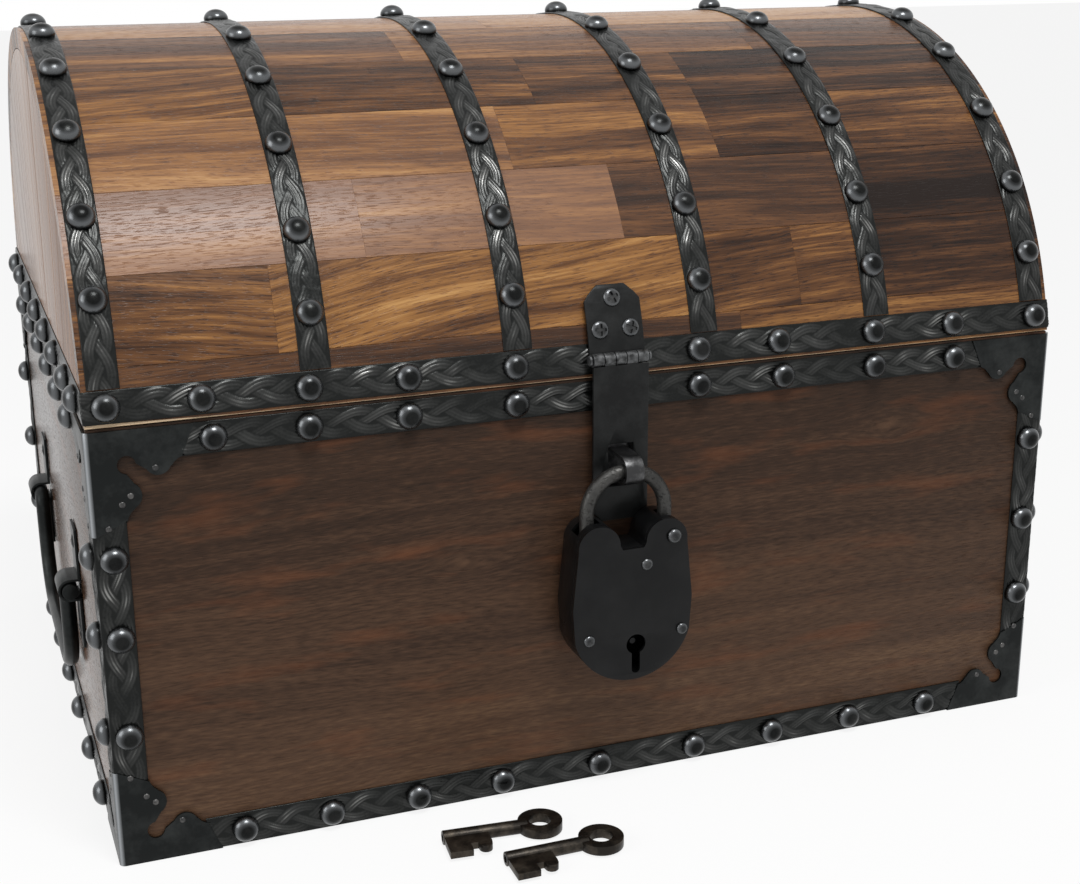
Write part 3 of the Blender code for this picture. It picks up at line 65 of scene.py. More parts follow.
CORNERS = (("front_left", -1, -1), ("front_right", 1, -1), ("back_left", -1, 1), ("back_right", 1, 1))

# Lid staves: a narrow rim board at each long edge and twelve rows between them
STAVE_THICKNESS = 0.009
STAVE_GAP = 0.00006
STAVE_EDGE = 0.00015
ROWS = 12
RIM_STAVE = 0.022
ROW_ANGLE = 2 * math.asin(-rim_low.y / LID_RADIUS) - 2 * RIM_STAVE / LID_RADIUS

# Iron straps
STRAP_THICKNESS = 0.0012
RELIEF = 0.00082
HAMMER_DEPTH = 0.00012
PLAIT_LENGTH = 0.0421
STRAND_HALF_WIDTH = 0.0020
STRAND_RIDGES = 3
EDGE_RADIUS = 0.0004
CORNER_ROUND = 0.0009
STEP_ALONG = 0.00062
RING_STEP_ALONG = 0.00074
STEP_ACROSS = 0.00034
ARCH_STRAP_WIDTH = 0.0125
CORNER_LEG = 0.0133
GROUND = GAP + STRAP_THICKNESS - RELIEF
STRAP_OUTER = GAP + STRAP_THICKNESS
RIM_REVEAL = 0.0010
RIM_STRAP_WIDTH = 0.013
LID_RIM_REVEAL = 0.0014
LID_RIM_STRAP_WIDTH = 0.0125
FOOT_STRAP_WIDTH = 0.0143
FOOT_LOW = GAP
FOOT_HIGH = FOOT_LOW + FOOT_STRAP_WIDTH
RIM_HIGH = BODY_HEIGHT - RIM_REVEAL
RIM_LOW = RIM_HIGH - RIM_STRAP_WIDTH
LID_RIM_LOW = LID_BOTTOM + LID_RIM_REVEAL
LID_RIM_HIGH = LID_RIM_LOW + LID_RIM_STRAP_WIDTH

# Studs. Shares along the front are of the row's half, shares up the lid are of the arch's half
STUD_RADIUS = 0.0056
STUD_HEIGHT = 0.0044
STUD_STEP = -sum(c.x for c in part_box("lid_band_3")) / 2
END_STUD_STEP = 0.0448
END_STUDS = [k * END_STUD_STEP for k in (-2.5, -1.5, -0.5, 0.5, 1.5, 2.5)]
LID_END_STUD_INSET = 0.0179
LID_EDGE_STUD_SHARES = (-1.020, -0.771, -0.531, -0.261, 0.229, 0.455, 0.734, 0.976)
RIM_STUD_SHARES = (-1.000, -0.776, -0.534, -0.262, 0.229, 0.468, 0.739, 0.983)
FOOT_STUD_SHARES = (-0.984, -0.765, -0.539, -0.312, -0.040, 0.235, 0.472, 0.714, 0.958)
ARCH_STUD_SHARES = (0.899, 0.745, 0.560, 0.372, 0.185, -0.055, -0.262, -0.468, -0.668, -0.854)
FIRST_STRAP_STUD_RISE = 0.053
CORNER_STUD_HEIGHTS = (0.0560, 0.0934, 0.1308)
CORNER_STUD_STRAYS = {"front_left": (0.0014, 0.0059, 0.0016), "front_right": (0.0009, 0.0014, 0.0036)}

# Corner plates with slanting arm ends, and the straps' ends beside them
PLATE_THICKNESS = 0.0010
PLATE_OUTER = GAP + PLATE_THICKNESS
PLATE_ARM = 0.0417
PLATE_SHARE_ALONG = 0.95
PLATE_END_SLANT = 0.0056
PLATE_FOLD = 0.0016
PLATE_TO_STRAP = 0.0002
PLATE_NAILS = ((0.0249, 0.0162), (0.0148, 0.0264), (0.0114, 0.0296), (0.0056, 0.0388))


def joined_by(operation, swapped=False):
    """A method that puts a math node between two values."""
    def method(self, other):
        return self.sheet.math(operation, *((other, self) if swapped else (self, other)))
    return method


class Field:
    """A socket that can be added, multiplied and compared like a number."""

    def __init__(self, sheet, socket):
        self.sheet = sheet
        self.socket = socket

    __add__ = joined_by("ADD")
    __radd__ = joined_by("ADD", True)
    __sub__ = joined_by("SUBTRACT")
    __rsub__ = joined_by("SUBTRACT", True)
    __mul__ = joined_by("MULTIPLY")
    __rmul__ = joined_by("MULTIPLY", True)
    __truediv__ = joined_by("DIVIDE")
    __lt__ = joined_by("LESS_THAN")
    __gt__ = joined_by("GREATER_THAN")


class Sheet:
    """A node tree under construction."""

    def __init__(self, tree):
        self.tree = tree

    def feed(self, socket, value):
        if isinstance(value, Field):
            self.tree.links.new(value.socket, socket)
        else:
            socket.default_value = value

    def node(self, kind, inputs=None, **settings):
        node = self.tree.nodes.new(kind)
        for key, value in settings.items():
            setattr(node, key, value)
        for key, value in (inputs or {}).items():
            self.feed(node.inputs[key], value)
        return node

    def field(self, kind, inputs=None, output=0, **settings):
        """One output of a new node."""
        return Field(self, self.node(kind, inputs, **settings).outputs[output])

    def enabled(self, kind, inputs, **settings):
        """The output that a new node's data type leaves in use."""
        node = self.node(kind, inputs, **settings)
        return Field(self, next(output for output in node.outputs if output.enabled))

    def math(self, operation, *values, use_clamp=False):
        return self.field("ShaderNodeMath", dict(enumerate(values)), operation=operation, use_clamp=use_clamp)

    def clamp(self, value):
        return self.math("ADD", value, 0.0, use_clamp=True)

    def split(self, vector):
        node = self.node("ShaderNodeSeparateXYZ", {0: vector})
        return [Field(self, output) for output in node.outputs]

    def join(self, x, y, z=0.0):
        return self.field("ShaderNodeCombineXYZ", {0: x, 1: y, 2: z})

    def noise(self, vector, scale=1.0, detail=3.0, roughness=0.5):
        inputs = {"Vector": vector, "Scale": scale, "Detail": detail, "Roughness": roughness}
        return self.field("ShaderNodeTexNoise", inputs)

    def attribute(self, name):
        return self.field("ShaderNodeAttribute", output="Fac", attribute_name=name)

    def object_place(self):
        return self.field("ShaderNodeTexCoord", output="Object")

    def mix(self, share, first, second):
        return self.field("ShaderNodeMix", {0: share, 6: first, 7: second}, 2, data_type="RGBA")

    def ramp(self, share, stops):
        node = self.node("ShaderNodeValToRGB", {0: share})
        elements = node.color_ramp.elements
        while len(elements) < len(stops):
            elements.new(0.5)
        for element, (place, colour) in zip(elements, stops):
            element.position = place
            element.color = (*colour, 1.0)
        return Field(self, node.outputs[0])

    def named(self, name, kind="FLOAT"):
        return self.enabled("GeometryNodeInputNamedAttribute", {"Name": name}, data_type=kind)

    def store(self, geometry, name, value, kind, domain):
        inputs = {"Geometry": geometry, "Name": name, "Value": value}
        return self.field("GeometryNodeStoreNamedAttribute", inputs, data_type=kind, domain=domain)

    def place_points(self, geometry, place):
        return self.field("GeometryNodeSetPosition", {"Geometry": geometry, "Position": place})


def new_material(name, **sockets):
    """A material, its node sheet and its Principled shader."""
    material = bpy.data.materials.new(name)
    material.use_nodes = True
    shader = material.node_tree.nodes["Principled BSDF"]
    for key, value in sockets.items():
        shader.inputs[key.replace("_", " ")].default_value = value
    return material, Sheet(material.node_tree), shader


def finish(sheet, shader, colour, roughness, height, depth, strength):
    """Feed a shader its colour, its roughness and a bump as deep as given."""
    normal = sheet.field("ShaderNodeBump", {"Height": height, "Distance": depth, "Strength": strength})
    for name, value in (("Base Color", colour), ("Roughness", roughness), ("Normal", normal)):
        sheet.feed(shader.inputs[name], value)


# Colours of stained wood from the darkest figure to the palest, and of the lid's bare lower edge with its
# painted highlight
LID_STAIN = ((0.0, (0.012, 0.006, 0.004)), (0.25, (0.046, 0.020, 0.010)), (0.5, (0.130, 0.056, 0.022)),
             (0.75, (0.30, 0.140, 0.045)), (1.0, (0.48, 0.26, 0.095)))
BODY_STAIN = ((0.0, (0.014, 0.008, 0.005)), (0.3, (0.040, 0.021, 0.0125)), (0.6, (0.092, 0.049, 0.028)),
              (1.0, (0.20, 0.115, 0.062)))
# A pink that is painted glare, laid on each board by its own share
PAINTED_GLARE_PINK = (0.30, 0.17, 0.115, 1.0)
RED_CAST = (0.21, 0.070, 0.026, 1.0)
BARE_EDGE_AND_HIGHLIGHT = (0.78, 0.60, 0.40, 1.0)
BARE_AND_HIGHLIGHT_TOP = LID_BOTTOM + 0.0003

# How strongly each layer of the grain shows, how short its fibres are, and how dark a knot's core is
LID_LAYERS = {"broad": 1.55, "streak": 0.95, "fibre": 0.65, "short": 42.0, "pores": 0.20, "red": 0.0,
              "core": 0.55}
BODY_LAYERS = {"broad": 0.62, "streak": 0.32, "fibre": 0.55, "short": 150.0, "pores": 0.07, "red": 0.42,
               "core": -0.16}


def wood(name, stain, knots, roughness, layers, figure=52.0, bare_and_highlit_edge=0.0, specular=0.15):
    """Stained hardwood. The UV map runs along the grain and across it in metres."""
    material, sheet, shader = new_material(name, Specular_IOR_Level=specular)
    u, v = sheet.split(sheet.field("ShaderNodeUVMap"))[:2]
    wander = sheet.noise(sheet.join(u * 4.0, v * 13.0), 1.0, 2.0)
    grain = v + (wander - 0.5) * 0.022
    core = 0.0
    for knot_u, knot_v, size in knots:
        along = (u - knot_u) / (2.2 * size)
        across = (v - knot_v) / size
        reach = along * along + across * across
        near = sheet.math("EXPONENT", reach * -0.35)
        grain = grain - across * near * (size * 0.75)
        core = sheet.math("EXPONENT", reach * -9.0) + sheet.math("EXPONENT", reach * -0.5) * 0.25 + core
    broad = sheet.noise(sheet.join(u * 3.2, grain * figure), 1.0, 5.0, 0.62)
    streak = sheet.noise(sheet.join(u * 8.0, grain * 230.0, 3.0), 1.0, 3.0, 0.6)
    fibre = sheet.noise(sheet.join(u * layers["short"], grain * 950.0, 7.0), 1.0, 2.0)
    pores = sheet.clamp((sheet.noise(sheet.join(u * 170.0, grain * 2000.0, 11.0), 1.0, 1.0) - 0.57) * 9.0)
    shade = sheet.attribute("tone") + (broad - 0.5) * layers["broad"] + (streak - 0.5) * layers["streak"]
    shade = shade + (fibre - 0.5) * layers["fibre"] - pores * layers["pores"] - core * layers["core"]
    colour = sheet.ramp(sheet.clamp(shade), stain)
    # Painted pink glare, as much as each board's share says
    colour = sheet.mix(sheet.attribute("blush"), colour, PAINTED_GLARE_PINK)
    if layers["red"]:
        slow = sheet.noise(sheet.join(u * 15.0, grain * 75.0, 17.0), 1.0, 3.0, 0.6)
        colour = sheet.mix(sheet.clamp((slow - 0.54) * 4.0) * layers["red"], colour, RED_CAST)
    if bare_and_highlit_edge:
        x, y, z = sheet.split(sheet.object_place())
        # A thin pale line along the lid's lower edge, wider at the left end: bare wood and a painted edge
        # highlight
        top = sheet.clamp((-0.160 - x) * 22.0) * 0.0010 + BARE_AND_HIGHLIGHT_TOP
        bare_and_highlit = sheet.clamp((top - z) * 8000.0) * (bare_and_highlit_edge * (0.5 + streak * 0.8))
        colour = sheet.mix(sheet.clamp(bare_and_highlit), colour, BARE_EDGE_AND_HIGHLIGHT)
    finish(sheet, shader, colour, pores * 0.2 + (broad - 0.5) * 0.12 + roughness,
           fibre * 0.6 + streak * 0.5 - pores, 0.00012, 0.6)
    return material


def embossed_iron(name):
    """Blackened sheet iron whose raised plait is rubbed bright and carries painted highlights, and whose
    ground keeps its scale.
    """
    material, sheet, shader = new_material(name, Metallic=0.85, Specular_IOR_Level=0.3)
    place = sheet.object_place()
    relief = sheet.attribute("relief")
    blotch = sheet.noise(place, 70.0, 4.0, 0.6)
    grit = sheet.noise(place, 900.0, 3.0, 0.6)
    # The plait's ridges are made paler, and near white in patches: rubbed wear together with painted
    # highlights
    rubbed_and_highlit = sheet.clamp((relief - 0.58) * 3.5) * sheet.clamp((blotch - 0.44) * 5.0)
    colour = sheet.mix(sheet.clamp(relief * 1.1 - 0.05 + (grit - 0.5) * 0.5), (0.0165, 0.0175, 0.0170, 1.0),
                       (0.068, 0.069, 0.067, 1.0))
    colour = sheet.mix(rubbed_and_highlit, colour, (0.26, 0.26, 0.25, 1.0))
    finish(sheet, shader, colour, 0.31 - rubbed_and_highlit * 0.08 + (grit - 0.5) * 0.2, grit, 0.00010, 0.5)
    return material


def plain_iron(name, dark, light, metallic, roughness, patch=60.0, grit_size=800.0, grit_depth=0.00006,
               specular=0.5, edge_wear=0.0, barrel=None):
    """Metal with cloudy patches, fine grit and an uneven sheen.

    It is made paler where its point attribute says: worn bright on a plate's fold, and a painted reflection
    ring on a domed head. On a hinge barrel given as (y, z, radius) it gets pale streaks of painted glint."""
    material, sheet, shader = new_material(name, Metallic=metallic, Specular_IOR_Level=specular)
    place = sheet.object_place()
    cloud = sheet.noise(place, patch, 5.0, 0.65)
    grit = sheet.noise(place, grit_size, 3.0, 0.6)
    worn = sheet.clamp((cloud - 0.42) * 2.6 + (grit - 0.5) * 0.5)
    colour = sheet.mix(worn, (*dark, 1.0), (*light, 1.0))
    # Paler where the point attribute says: wear on a plate's fold, a painted reflection ring on a dome
    if edge_wear:
        colour = sheet.mix(sheet.attribute("wear") * edge_wear, colour, (0.42, 0.44, 0.46, 1.0))
    if barrel:
        y, z = (part - middle for part, middle in zip(sheet.split(place)[1:], barrel))
        on_barrel = y * y + z * z < barrel[2] ** 2
        # Pale streaks on the hinge barrel: painted glints
        painted_glints = sheet.clamp(sheet.noise(place, 420.0, 2.0) * 2.4 - 0.75)
        colour = sheet.mix(on_barrel * painted_glints * 0.30, colour, (0.42, 0.43, 0.44, 1.0))
    finish(sheet, shader, colour, roughness + (cloud - 0.5) * 0.25 + (grit - 0.5) * 0.12,
           grit + cloud * 0.5, grit_depth, 0.6)
    return material


def pitted_iron(name):
    """The shackle's old iron: brown-grey, with pits eaten into it."""
    material, sheet, shader = new_material(name, Metallic=0.75)
    place = sheet.object_place()
    cloud = sheet.noise(place, 120.0, 5.0, 0.7)
    pits = sheet.clamp((sheet.noise(place, 650.0, 3.0, 0.6) - 0.52) * 5.0)
    colour = sheet.mix(sheet.clamp(cloud * 1.5 - 0.3), (0.022, 0.022, 0.022, 1.0), (0.085, 0.083, 0.078, 1.0))
    colour = sheet.mix(pits * 0.6, colour, (0.013, 0.012, 0.011, 1.0))
    finish(sheet, shader, colour, 0.36 + pits * 0.3 + cloud * 0.1, cloud * 0.4 - pits, 0.00025, 0.8)
    return material


hasp_pin_low, hasp_pin_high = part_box("hasp_pin")
HASP_AXIS = ((hasp_pin_low.y + hasp_pin_high.y) / 2, (hasp_pin_low.z + hasp_pin_high.z) / 2)

iron_embossed = embossed_iron("embossed_blackened_iron")
iron_sheet = plain_iron("blackened_iron_sheet", (0.014, 0.0155, 0.0155), (0.038, 0.041, 0.0405), 0.85, 0.40,
                        70.0, 700.0, 0.00010, 0.3, 0.8)
# Studs take a painted reflection ring from their domes
stud_iron = plain_iron("polished_stud_iron", (0.010, 0.0105, 0.0105), (0.026, 0.027, 0.0265), 0.95, 0.27,
                       90.0, 1200.0, 0.00002, edge_wear=0.24)
nail_steel = plain_iron("nail_steel", (0.05, 0.05, 0.05), (0.18, 0.175, 0.17), 1.0, 0.36, 200.0)
# Rivets take a fainter painted reflection ring from their domes
rivet_steel = plain_iron("rivet_steel_with_painted_reflection", (0.030, 0.031, 0.032), (0.085, 0.086, 0.086), 0.9, 0.26,
                         200.0, edge_wear=0.15)
lock_paint = plain_iron("satin_black_lock", (0.0045, 0.0047, 0.0050), (0.011, 0.0112, 0.0115), 0.35, 0.33,
                        45.0, 1500.0, 0.00003, 0.26)
# The hasp's hinge barrel gets pale streaks of painted glint
hasp_paint = plain_iron("satin_black_hasp", (0.010, 0.0105, 0.0105), (0.026, 0.027, 0.027), 0.6, 0.38,
                        70.0, 1100.0, 0.00005, 0.3, barrel=(*HASP_AXIS, 0.0029))
staple_iron = plain_iron("rubbed_staple_iron", (0.045, 0.045, 0.046), (0.17, 0.17, 0.172), 0.9, 0.34, 150.0)
shackle_iron = pitted_iron("pitted_shackle_iron")
pin_steel = plain_iron("pin_steel", (0.10, 0.10, 0.10), (0.24, 0.24, 0.24), 1.0, 0.3, 150.0)
key_bronze = plain_iron("dark_key_bronze", (0.022, 0.019, 0.016), (0.10, 0.083, 0.064), 0.85, 0.38,
                        130.0, 900.0, 0.00008)
lid_wood = wood("stained_lid_staves", LID_STAIN, ((7.170, 0.095, 0.011), (6.95, 0.113, 0.010)), 0.27,
                LID_LAYERS, bare_and_highlit_edge=0.7, specular=0.2)
lid_end_wood = wood("stained_lid_ends", LID_STAIN, (), 0.24, BODY_LAYERS, 60.0, 0.7, 0.42)
body_wood = wood("stained_body_panels", BODY_STAIN, ((0.1335, 0.0511, 0.0055), (-0.0674, 0.0127, 0.0035)),
                 0.46, BODY_LAYERS, 60.0)
end_wood = wood("stained_end_panels", BODY_STAIN, ((9.05, 0.060, 0.006),), 0.24, BODY_LAYERS, 60.0,
                specular=0.38)


def dress(obj, material, body, *nodes, slot=None, sharp_deg=35.0):
    """Give a finished piece its material and shading, set it on its body and let it stand for CAD nodes."""
    mesh = obj.data
    mesh.materials.clear()
    mesh.materials.append(material)
    mesh.polygons.foreach_set("material_index", np.zeros(len(mesh.polygons), np.int32))
    mesh.shade_smooth()
    mesh.set_sharp_from_angle(angle=math.radians(sharp_deg))
    mesh.update()
    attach(obj, body)
    if nodes:
        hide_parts(*nodes)


def paint(mesh, **values):
    """Write each named attribute to a mesh's points, from one value or from one for each point."""
    for name, value in values.items():
        layer = mesh.attributes.new(name, "FLOAT", "POINT")
        layer.data.foreach_set("value", (np.zeros(len(mesh.vertices)) + value).astype(np.float32))


# Meshes
def blank(name, data, matrix=None):
    obj = bpy.data.objects.new(name, data)
    bpy.context.scene.collection.objects.link(obj)
    if matrix is not None:
        obj.matrix_world = matrix
    return obj


def settle(obj):
    """Apply an object's modifiers and place, and leave a plain mesh at the origin."""
    bpy.context.view_layer.update()
    depsgraph = bpy.context.evaluated_depsgraph_get()
    mesh = bpy.data.meshes.new_from_object(obj.evaluated_get(depsgraph))
    mesh.transform(obj.matrix_world)
    name = obj.name
    bpy.data.objects.remove(obj, do_unlink=True)
    return blank(name, mesh)


def from_bmesh(name, bm, matrix=None):
    mesh = bpy.data.meshes.new(name)
    bm.to_mesh(mesh)
    bm.free()
    return blank(name, mesh, matrix)


def block(name, low, high):
    low, high = Vector(low), Vector(high)
    bm = bmesh.new()
    bmesh.ops.create_cube(bm, size=1.0, matrix=Matrix.Diagonal((*(high - low), 1.0)))
    return from_bmesh(name, bm, Matrix.Translation((low + high) / 2))


def rod(name, radius, start, end, sides=32):
    start, end = Vector(start), Vector(end)
    bm = bmesh.new()
    bmesh.ops.create_cone(bm, cap_ends=True, segments=sides, radius1=radius, radius2=radius,
                          depth=(end - start).length)
    turn = (end - start).to_track_quat("Z", "Y").to_matrix().to_4x4()
    return from_bmesh(name, bm, Matrix.Translation((start + end) / 2) @ turn)


def round_edges(obj, width, segments=2, angle_deg=40.0):
    """Round an object's sharp edges, and leave the result as a plain mesh."""
    if width > 0:
        obj.modifiers.new("weld", "WELD").merge_threshold = 0.000002
        bevel = obj.modifiers.new("bevel", "BEVEL")
        bevel.width = width
        bevel.segments = segments
        bevel.limit_method = "ANGLE"
        bevel.angle_limit = math.radians(angle_deg)
    return settle(obj)


def combine(target, tool, operation):
    modifier = target.modifiers.new(operation, "BOOLEAN")
    modifier.operation = operation
    modifier.solver = "MANIFOLD"
    modifier.object = tool
    result = settle(target)
    bpy.data.objects.remove(tool, do_unlink=True)
    return result


def arc(centre, radius, start_deg, end_deg, steps):
    angles = [math.radians(start_deg + (end_deg - start_deg) * i / steps) for i in range(steps + 1)]
    return [(centre[0] + radius * math.cos(a), centre[1] + radius * math.sin(a)) for a in angles]


def corner_arcs(low, high, radius):
    """The four round corners of a rectangle, anticlockwise from the lower right."""
    (left, bottom), (right, top) = np.add(low, radius), np.subtract(high, radius)
    centres = ((right, bottom), (right, top), (left, top), (left, bottom))
    return [arc(centre, radius, turn, turn + 90, 5) for centre, turn in zip(centres, (-90, 0, 90, 180))]


def tidy_mesh(obj):
    """Merge a mesh's doubled points and turn its faces outwards."""
    bm = bmesh.new()
    bm.from_mesh(obj.data)
    bmesh.ops.remove_doubles(bm, verts=bm.verts, dist=0.000002)
    bmesh.ops.recalc_face_normals(bm, faces=bm.faces)
    bm.to_mesh(obj.data)
    bm.free()
    return obj


def curve_mesh(name, loops, closed, matrix=None, **settings):
    """The mesh of a curve of straight runs between points."""
    curve = bpy.data.curves.new(name, "CURVE")
    for key, value in settings.items():
        setattr(curve, key, value)
    for loop in loops:
        spline = curve.splines.new("POLY")
        spline.points.add(len(loop) - 1)
        for point, place in zip(spline.points, loop):
            point.co = Vector(place).to_4d()
        spline.use_cyclic_u = closed
    return tidy_mesh(settle(blank(name, curve, matrix)))


FACING_FRONT = Matrix(((1, 0, 0), (0, 0, -1), (0, 1, 0))).to_4x4()
FACING_END = Matrix(((0, 0, 1), (1, 0, 0), (0, 1, 0))).to_4x4()
LYING_FLAT = Matrix.Identity(4)


def plate(name, loops, thickness, facing=LYING_FLAT, middle=(0.0, 0.0, 0.0), rounding=0.0003):
    """A flat piece from its outline, then any holes, with rounded edges."""
    piece = curve_mesh(name, loops, True, Matrix.Translation(middle) @ facing, dimensions="2D",
                       fill_mode="BOTH", extrude=thickness / 2)
    return round_edges(piece, rounding)


def bent_rod(name, radius, points, resolution):
    return curve_mesh(name, [points], False, dimensions="3D", bevel_depth=radius,
                      bevel_resolution=resolution, use_fill_caps=True)


def points_array(mesh):
    co = np.empty(len(mesh.vertices) * 3)
    mesh.vertices.foreach_get("co", co)
    return co.reshape(-1, 3)


def set_points(mesh, co):
    mesh.vertices.foreach_set("co", np.ascontiguousarray(co, np.float32).ravel())
    mesh.update()


def cut_across(obj, normal, places, dist):
    """Cut a mesh's faces by parallel planes at places along their normal."""
    bm = bmesh.new()
    bm.from_mesh(obj.data)
    for place in places:
        geometry = [*bm.verts, *bm.edges, *bm.faces]
        bmesh.ops.bisect_plane(bm, geom=geometry, plane_co=Vector(normal) * place, plane_no=normal, dist=dist)
    bm.to_mesh(obj.data)
    bm.free()


def over_arch(obj, radius, slices=0.002):
    """Bend a flat piece over the lid. Its Y is the way round the arch from the crown, its Z the height."""
    ys = points_array(obj.data)[:, 1].tolist()
    low, high = min(ys), max(ys)
    count = int((high - low) / slices)
    cut_across(obj, (0, 1, 0), [low + (high - low) * i / count for i in range(1, count)], 0.00001)
    co = points_array(obj.data)
    angle = co[:, 1] / radius
    reach = radius + co[:, 2]
    set_points(obj.data, grid(co[:, 0], -reach * np.sin(angle), LID_CENTRE_Z + reach * np.cos(angle)))
    return tidy_mesh(obj)


def grid(xs, ys, zs):
    """Points from arrays of their parts, each stretched to the shape of all."""
    return np.stack(np.broadcast_arrays(xs, ys, zs), -1)


# Spots for nails and screws, each as (place, facing)
def front_angle(radius, height):
    return math.acos((height - LID_CENTRE_Z) / radius)


def arch_spot(x, angle, reach):
    way = (0.0, -math.sin(angle), math.cos(angle))
    return (x, way[1] * reach, LID_CENTRE_Z + way[2] * reach), way


def corner_spots(side, facing, inset, out, z):
    """A spot on each wall beside a corner."""
    return [((side * (HALF_WIDTH - inset), facing * (HALF_DEPTH + out), z), (0, facing, 0)),
            ((side * (HALF_WIDTH + out), facing * (HALF_DEPTH - inset), z), (side, 0, 0))]


def wall_row(height, front, back):
    """Spots round the body at one height."""
    out_x, out_y = HALF_WIDTH + STRAP_OUTER, HALF_DEPTH + STRAP_OUTER
    spots = [((x, -out_y, height), (0, -1, 0)) for x in front]
    spots += [((x, out_y, height), (0, 1, 0)) for x in back]
    return spots + end_rows(out_x, height, END_STUDS)


def end_rows(out_x, height, ys):
    return [((side * out_x, y, height), (side, 0, 0)) for side in (-1, 1) for y in ys]


# Geometry Nodes
CROSS_SHARES = (1.30, 0.32)


def geometry_tree(name, sizes, counts):
    """A tree with named sizes and counts and a material, and its input fields."""
    tree = bpy.data.node_groups.new(name, "GeometryNodeTree")
    tree.interface.new_socket("Geometry", in_out="INPUT", socket_type="NodeSocketGeometry")
    for kind, numbers in (("NodeSocketFloat", sizes), ("NodeSocketInt", counts)):
        for key, value in numbers.items():
            tree.interface.new_socket(key, in_out="INPUT", socket_type=kind).default_value = value
    tree.interface.new_socket("Material", in_out="INPUT", socket_type="NodeSocketMaterial")
    tree.interface.new_socket("Geometry", in_out="OUTPUT", socket_type="NodeSocketGeometry")
    sheet = Sheet(tree)
    given = sheet.node("NodeGroupInput")
    return sheet, {output.name: Field(sheet, output) for output in given.outputs if output.name}


def close_tree(sheet, geometry, material):
    """Make instances real, set the material and end the tree."""
    real = sheet.field("GeometryNodeRealizeInstances", {0: geometry})
    finished = sheet.field("GeometryNodeSetMaterial", {"Geometry": real, "Material": material})
    sheet.node("NodeGroupOutput", {0: finished})
    return sheet.tree


def grow(obj, tree, material, **values):
    """Run a Geometry Nodes tree on an object, and leave its result as a plain mesh."""
    modifier = obj.modifiers.new("nodes", "NODES")
    modifier.node_group = tree
    wanted = {**values, "Material": material}
    for item in tree.interface.items_tree:
        if item.in_out == "INPUT" and item.name in wanted:
            modifier[item.identifier] = wanted[item.name]
    return settle(obj)


def dome(sheet, given):
    """A closed dome with a short skirt below the points that it stands on."""
    ball = sheet.field("GeometryNodeMeshUVSphere", {"Segments": given["Sides"], "Rings": given["Rings"],
                                                    "Radius": 1.0})
    x, y, z = sheet.split(sheet.field("GeometryNodeInputPosition"))
    below = z < -0.01
    rise = sheet.math("MAXIMUM", z, 0.0)
    radius = given["Radius"]
    shaped = sheet.join(x * radius, y * radius, rise * given["Height"] - below * given["Skirt"])
    # The pale ring between the dome's crown and its foot is a painted reflection, kept as a point attribute
    ring = sheet.clamp((rise - 0.12) * 6.0) * sheet.clamp((0.84 - rise) * 6.0)
    return sheet.place_points(sheet.store(ball, "wear", ring, "FLOAT", "POINT"), shaped)


def cross_recess(sheet, given, head):
    """Cut a cross into a head's top."""
    long_side, short_side = (given["Radius"] * share for share in CROSS_SHARES)
    deep = given["Recess"] * 2
    lift = sheet.join(0.0, 0.0, given["Height"])
    cut = sheet.node("GeometryNodeMeshBoolean", {0: head}, operation="DIFFERENCE", solver="MANIFOLD")
    for size in (sheet.join(long_side, short_side, deep), sheet.join(short_side, long_side, deep)):
        bar = sheet.field("GeometryNodeMeshCube", {"Size": size})
        raised_bar = sheet.field("GeometryNodeTransform", {"Geometry": bar, "Translation": lift})
        sheet.feed(cut.inputs[1], raised_bar)
    return Field(sheet, cut.outputs[0])


def heads_tree(name, **sizes):
    """Domed nail heads on points, or screws with a cross recess where its depth is given.

    Each head faces along its point's own direction and is turned at random."""
    sheet, given = geometry_tree(name, sizes, {"Sides": 24, "Rings": 14})
    head = dome(sheet, given)
    if "Recess" in sizes:
        head = cross_recess(sheet, given, head)
    turn = sheet.field("FunctionNodeAlignRotationToVector", {"Vector": sheet.named("facing", "FLOAT_VECTOR")},
                       axis="Z")
    spots = sheet.field("GeometryNodeInstanceOnPoints", {"Points": given["Geometry"], "Instance": head,
                                                         "Rotation": turn})
    spin = sheet.enabled("FunctionNodeRandomValue", {"Seed": 7, 3: 2 * math.pi}, data_type="FLOAT")
    about = sheet.join(0.0, 0.0, spin)
    turned = sheet.field("GeometryNodeRotateInstances", {"Instances": spots, "Rotation": about})
    return close_tree(sheet, turned, given["Material"])


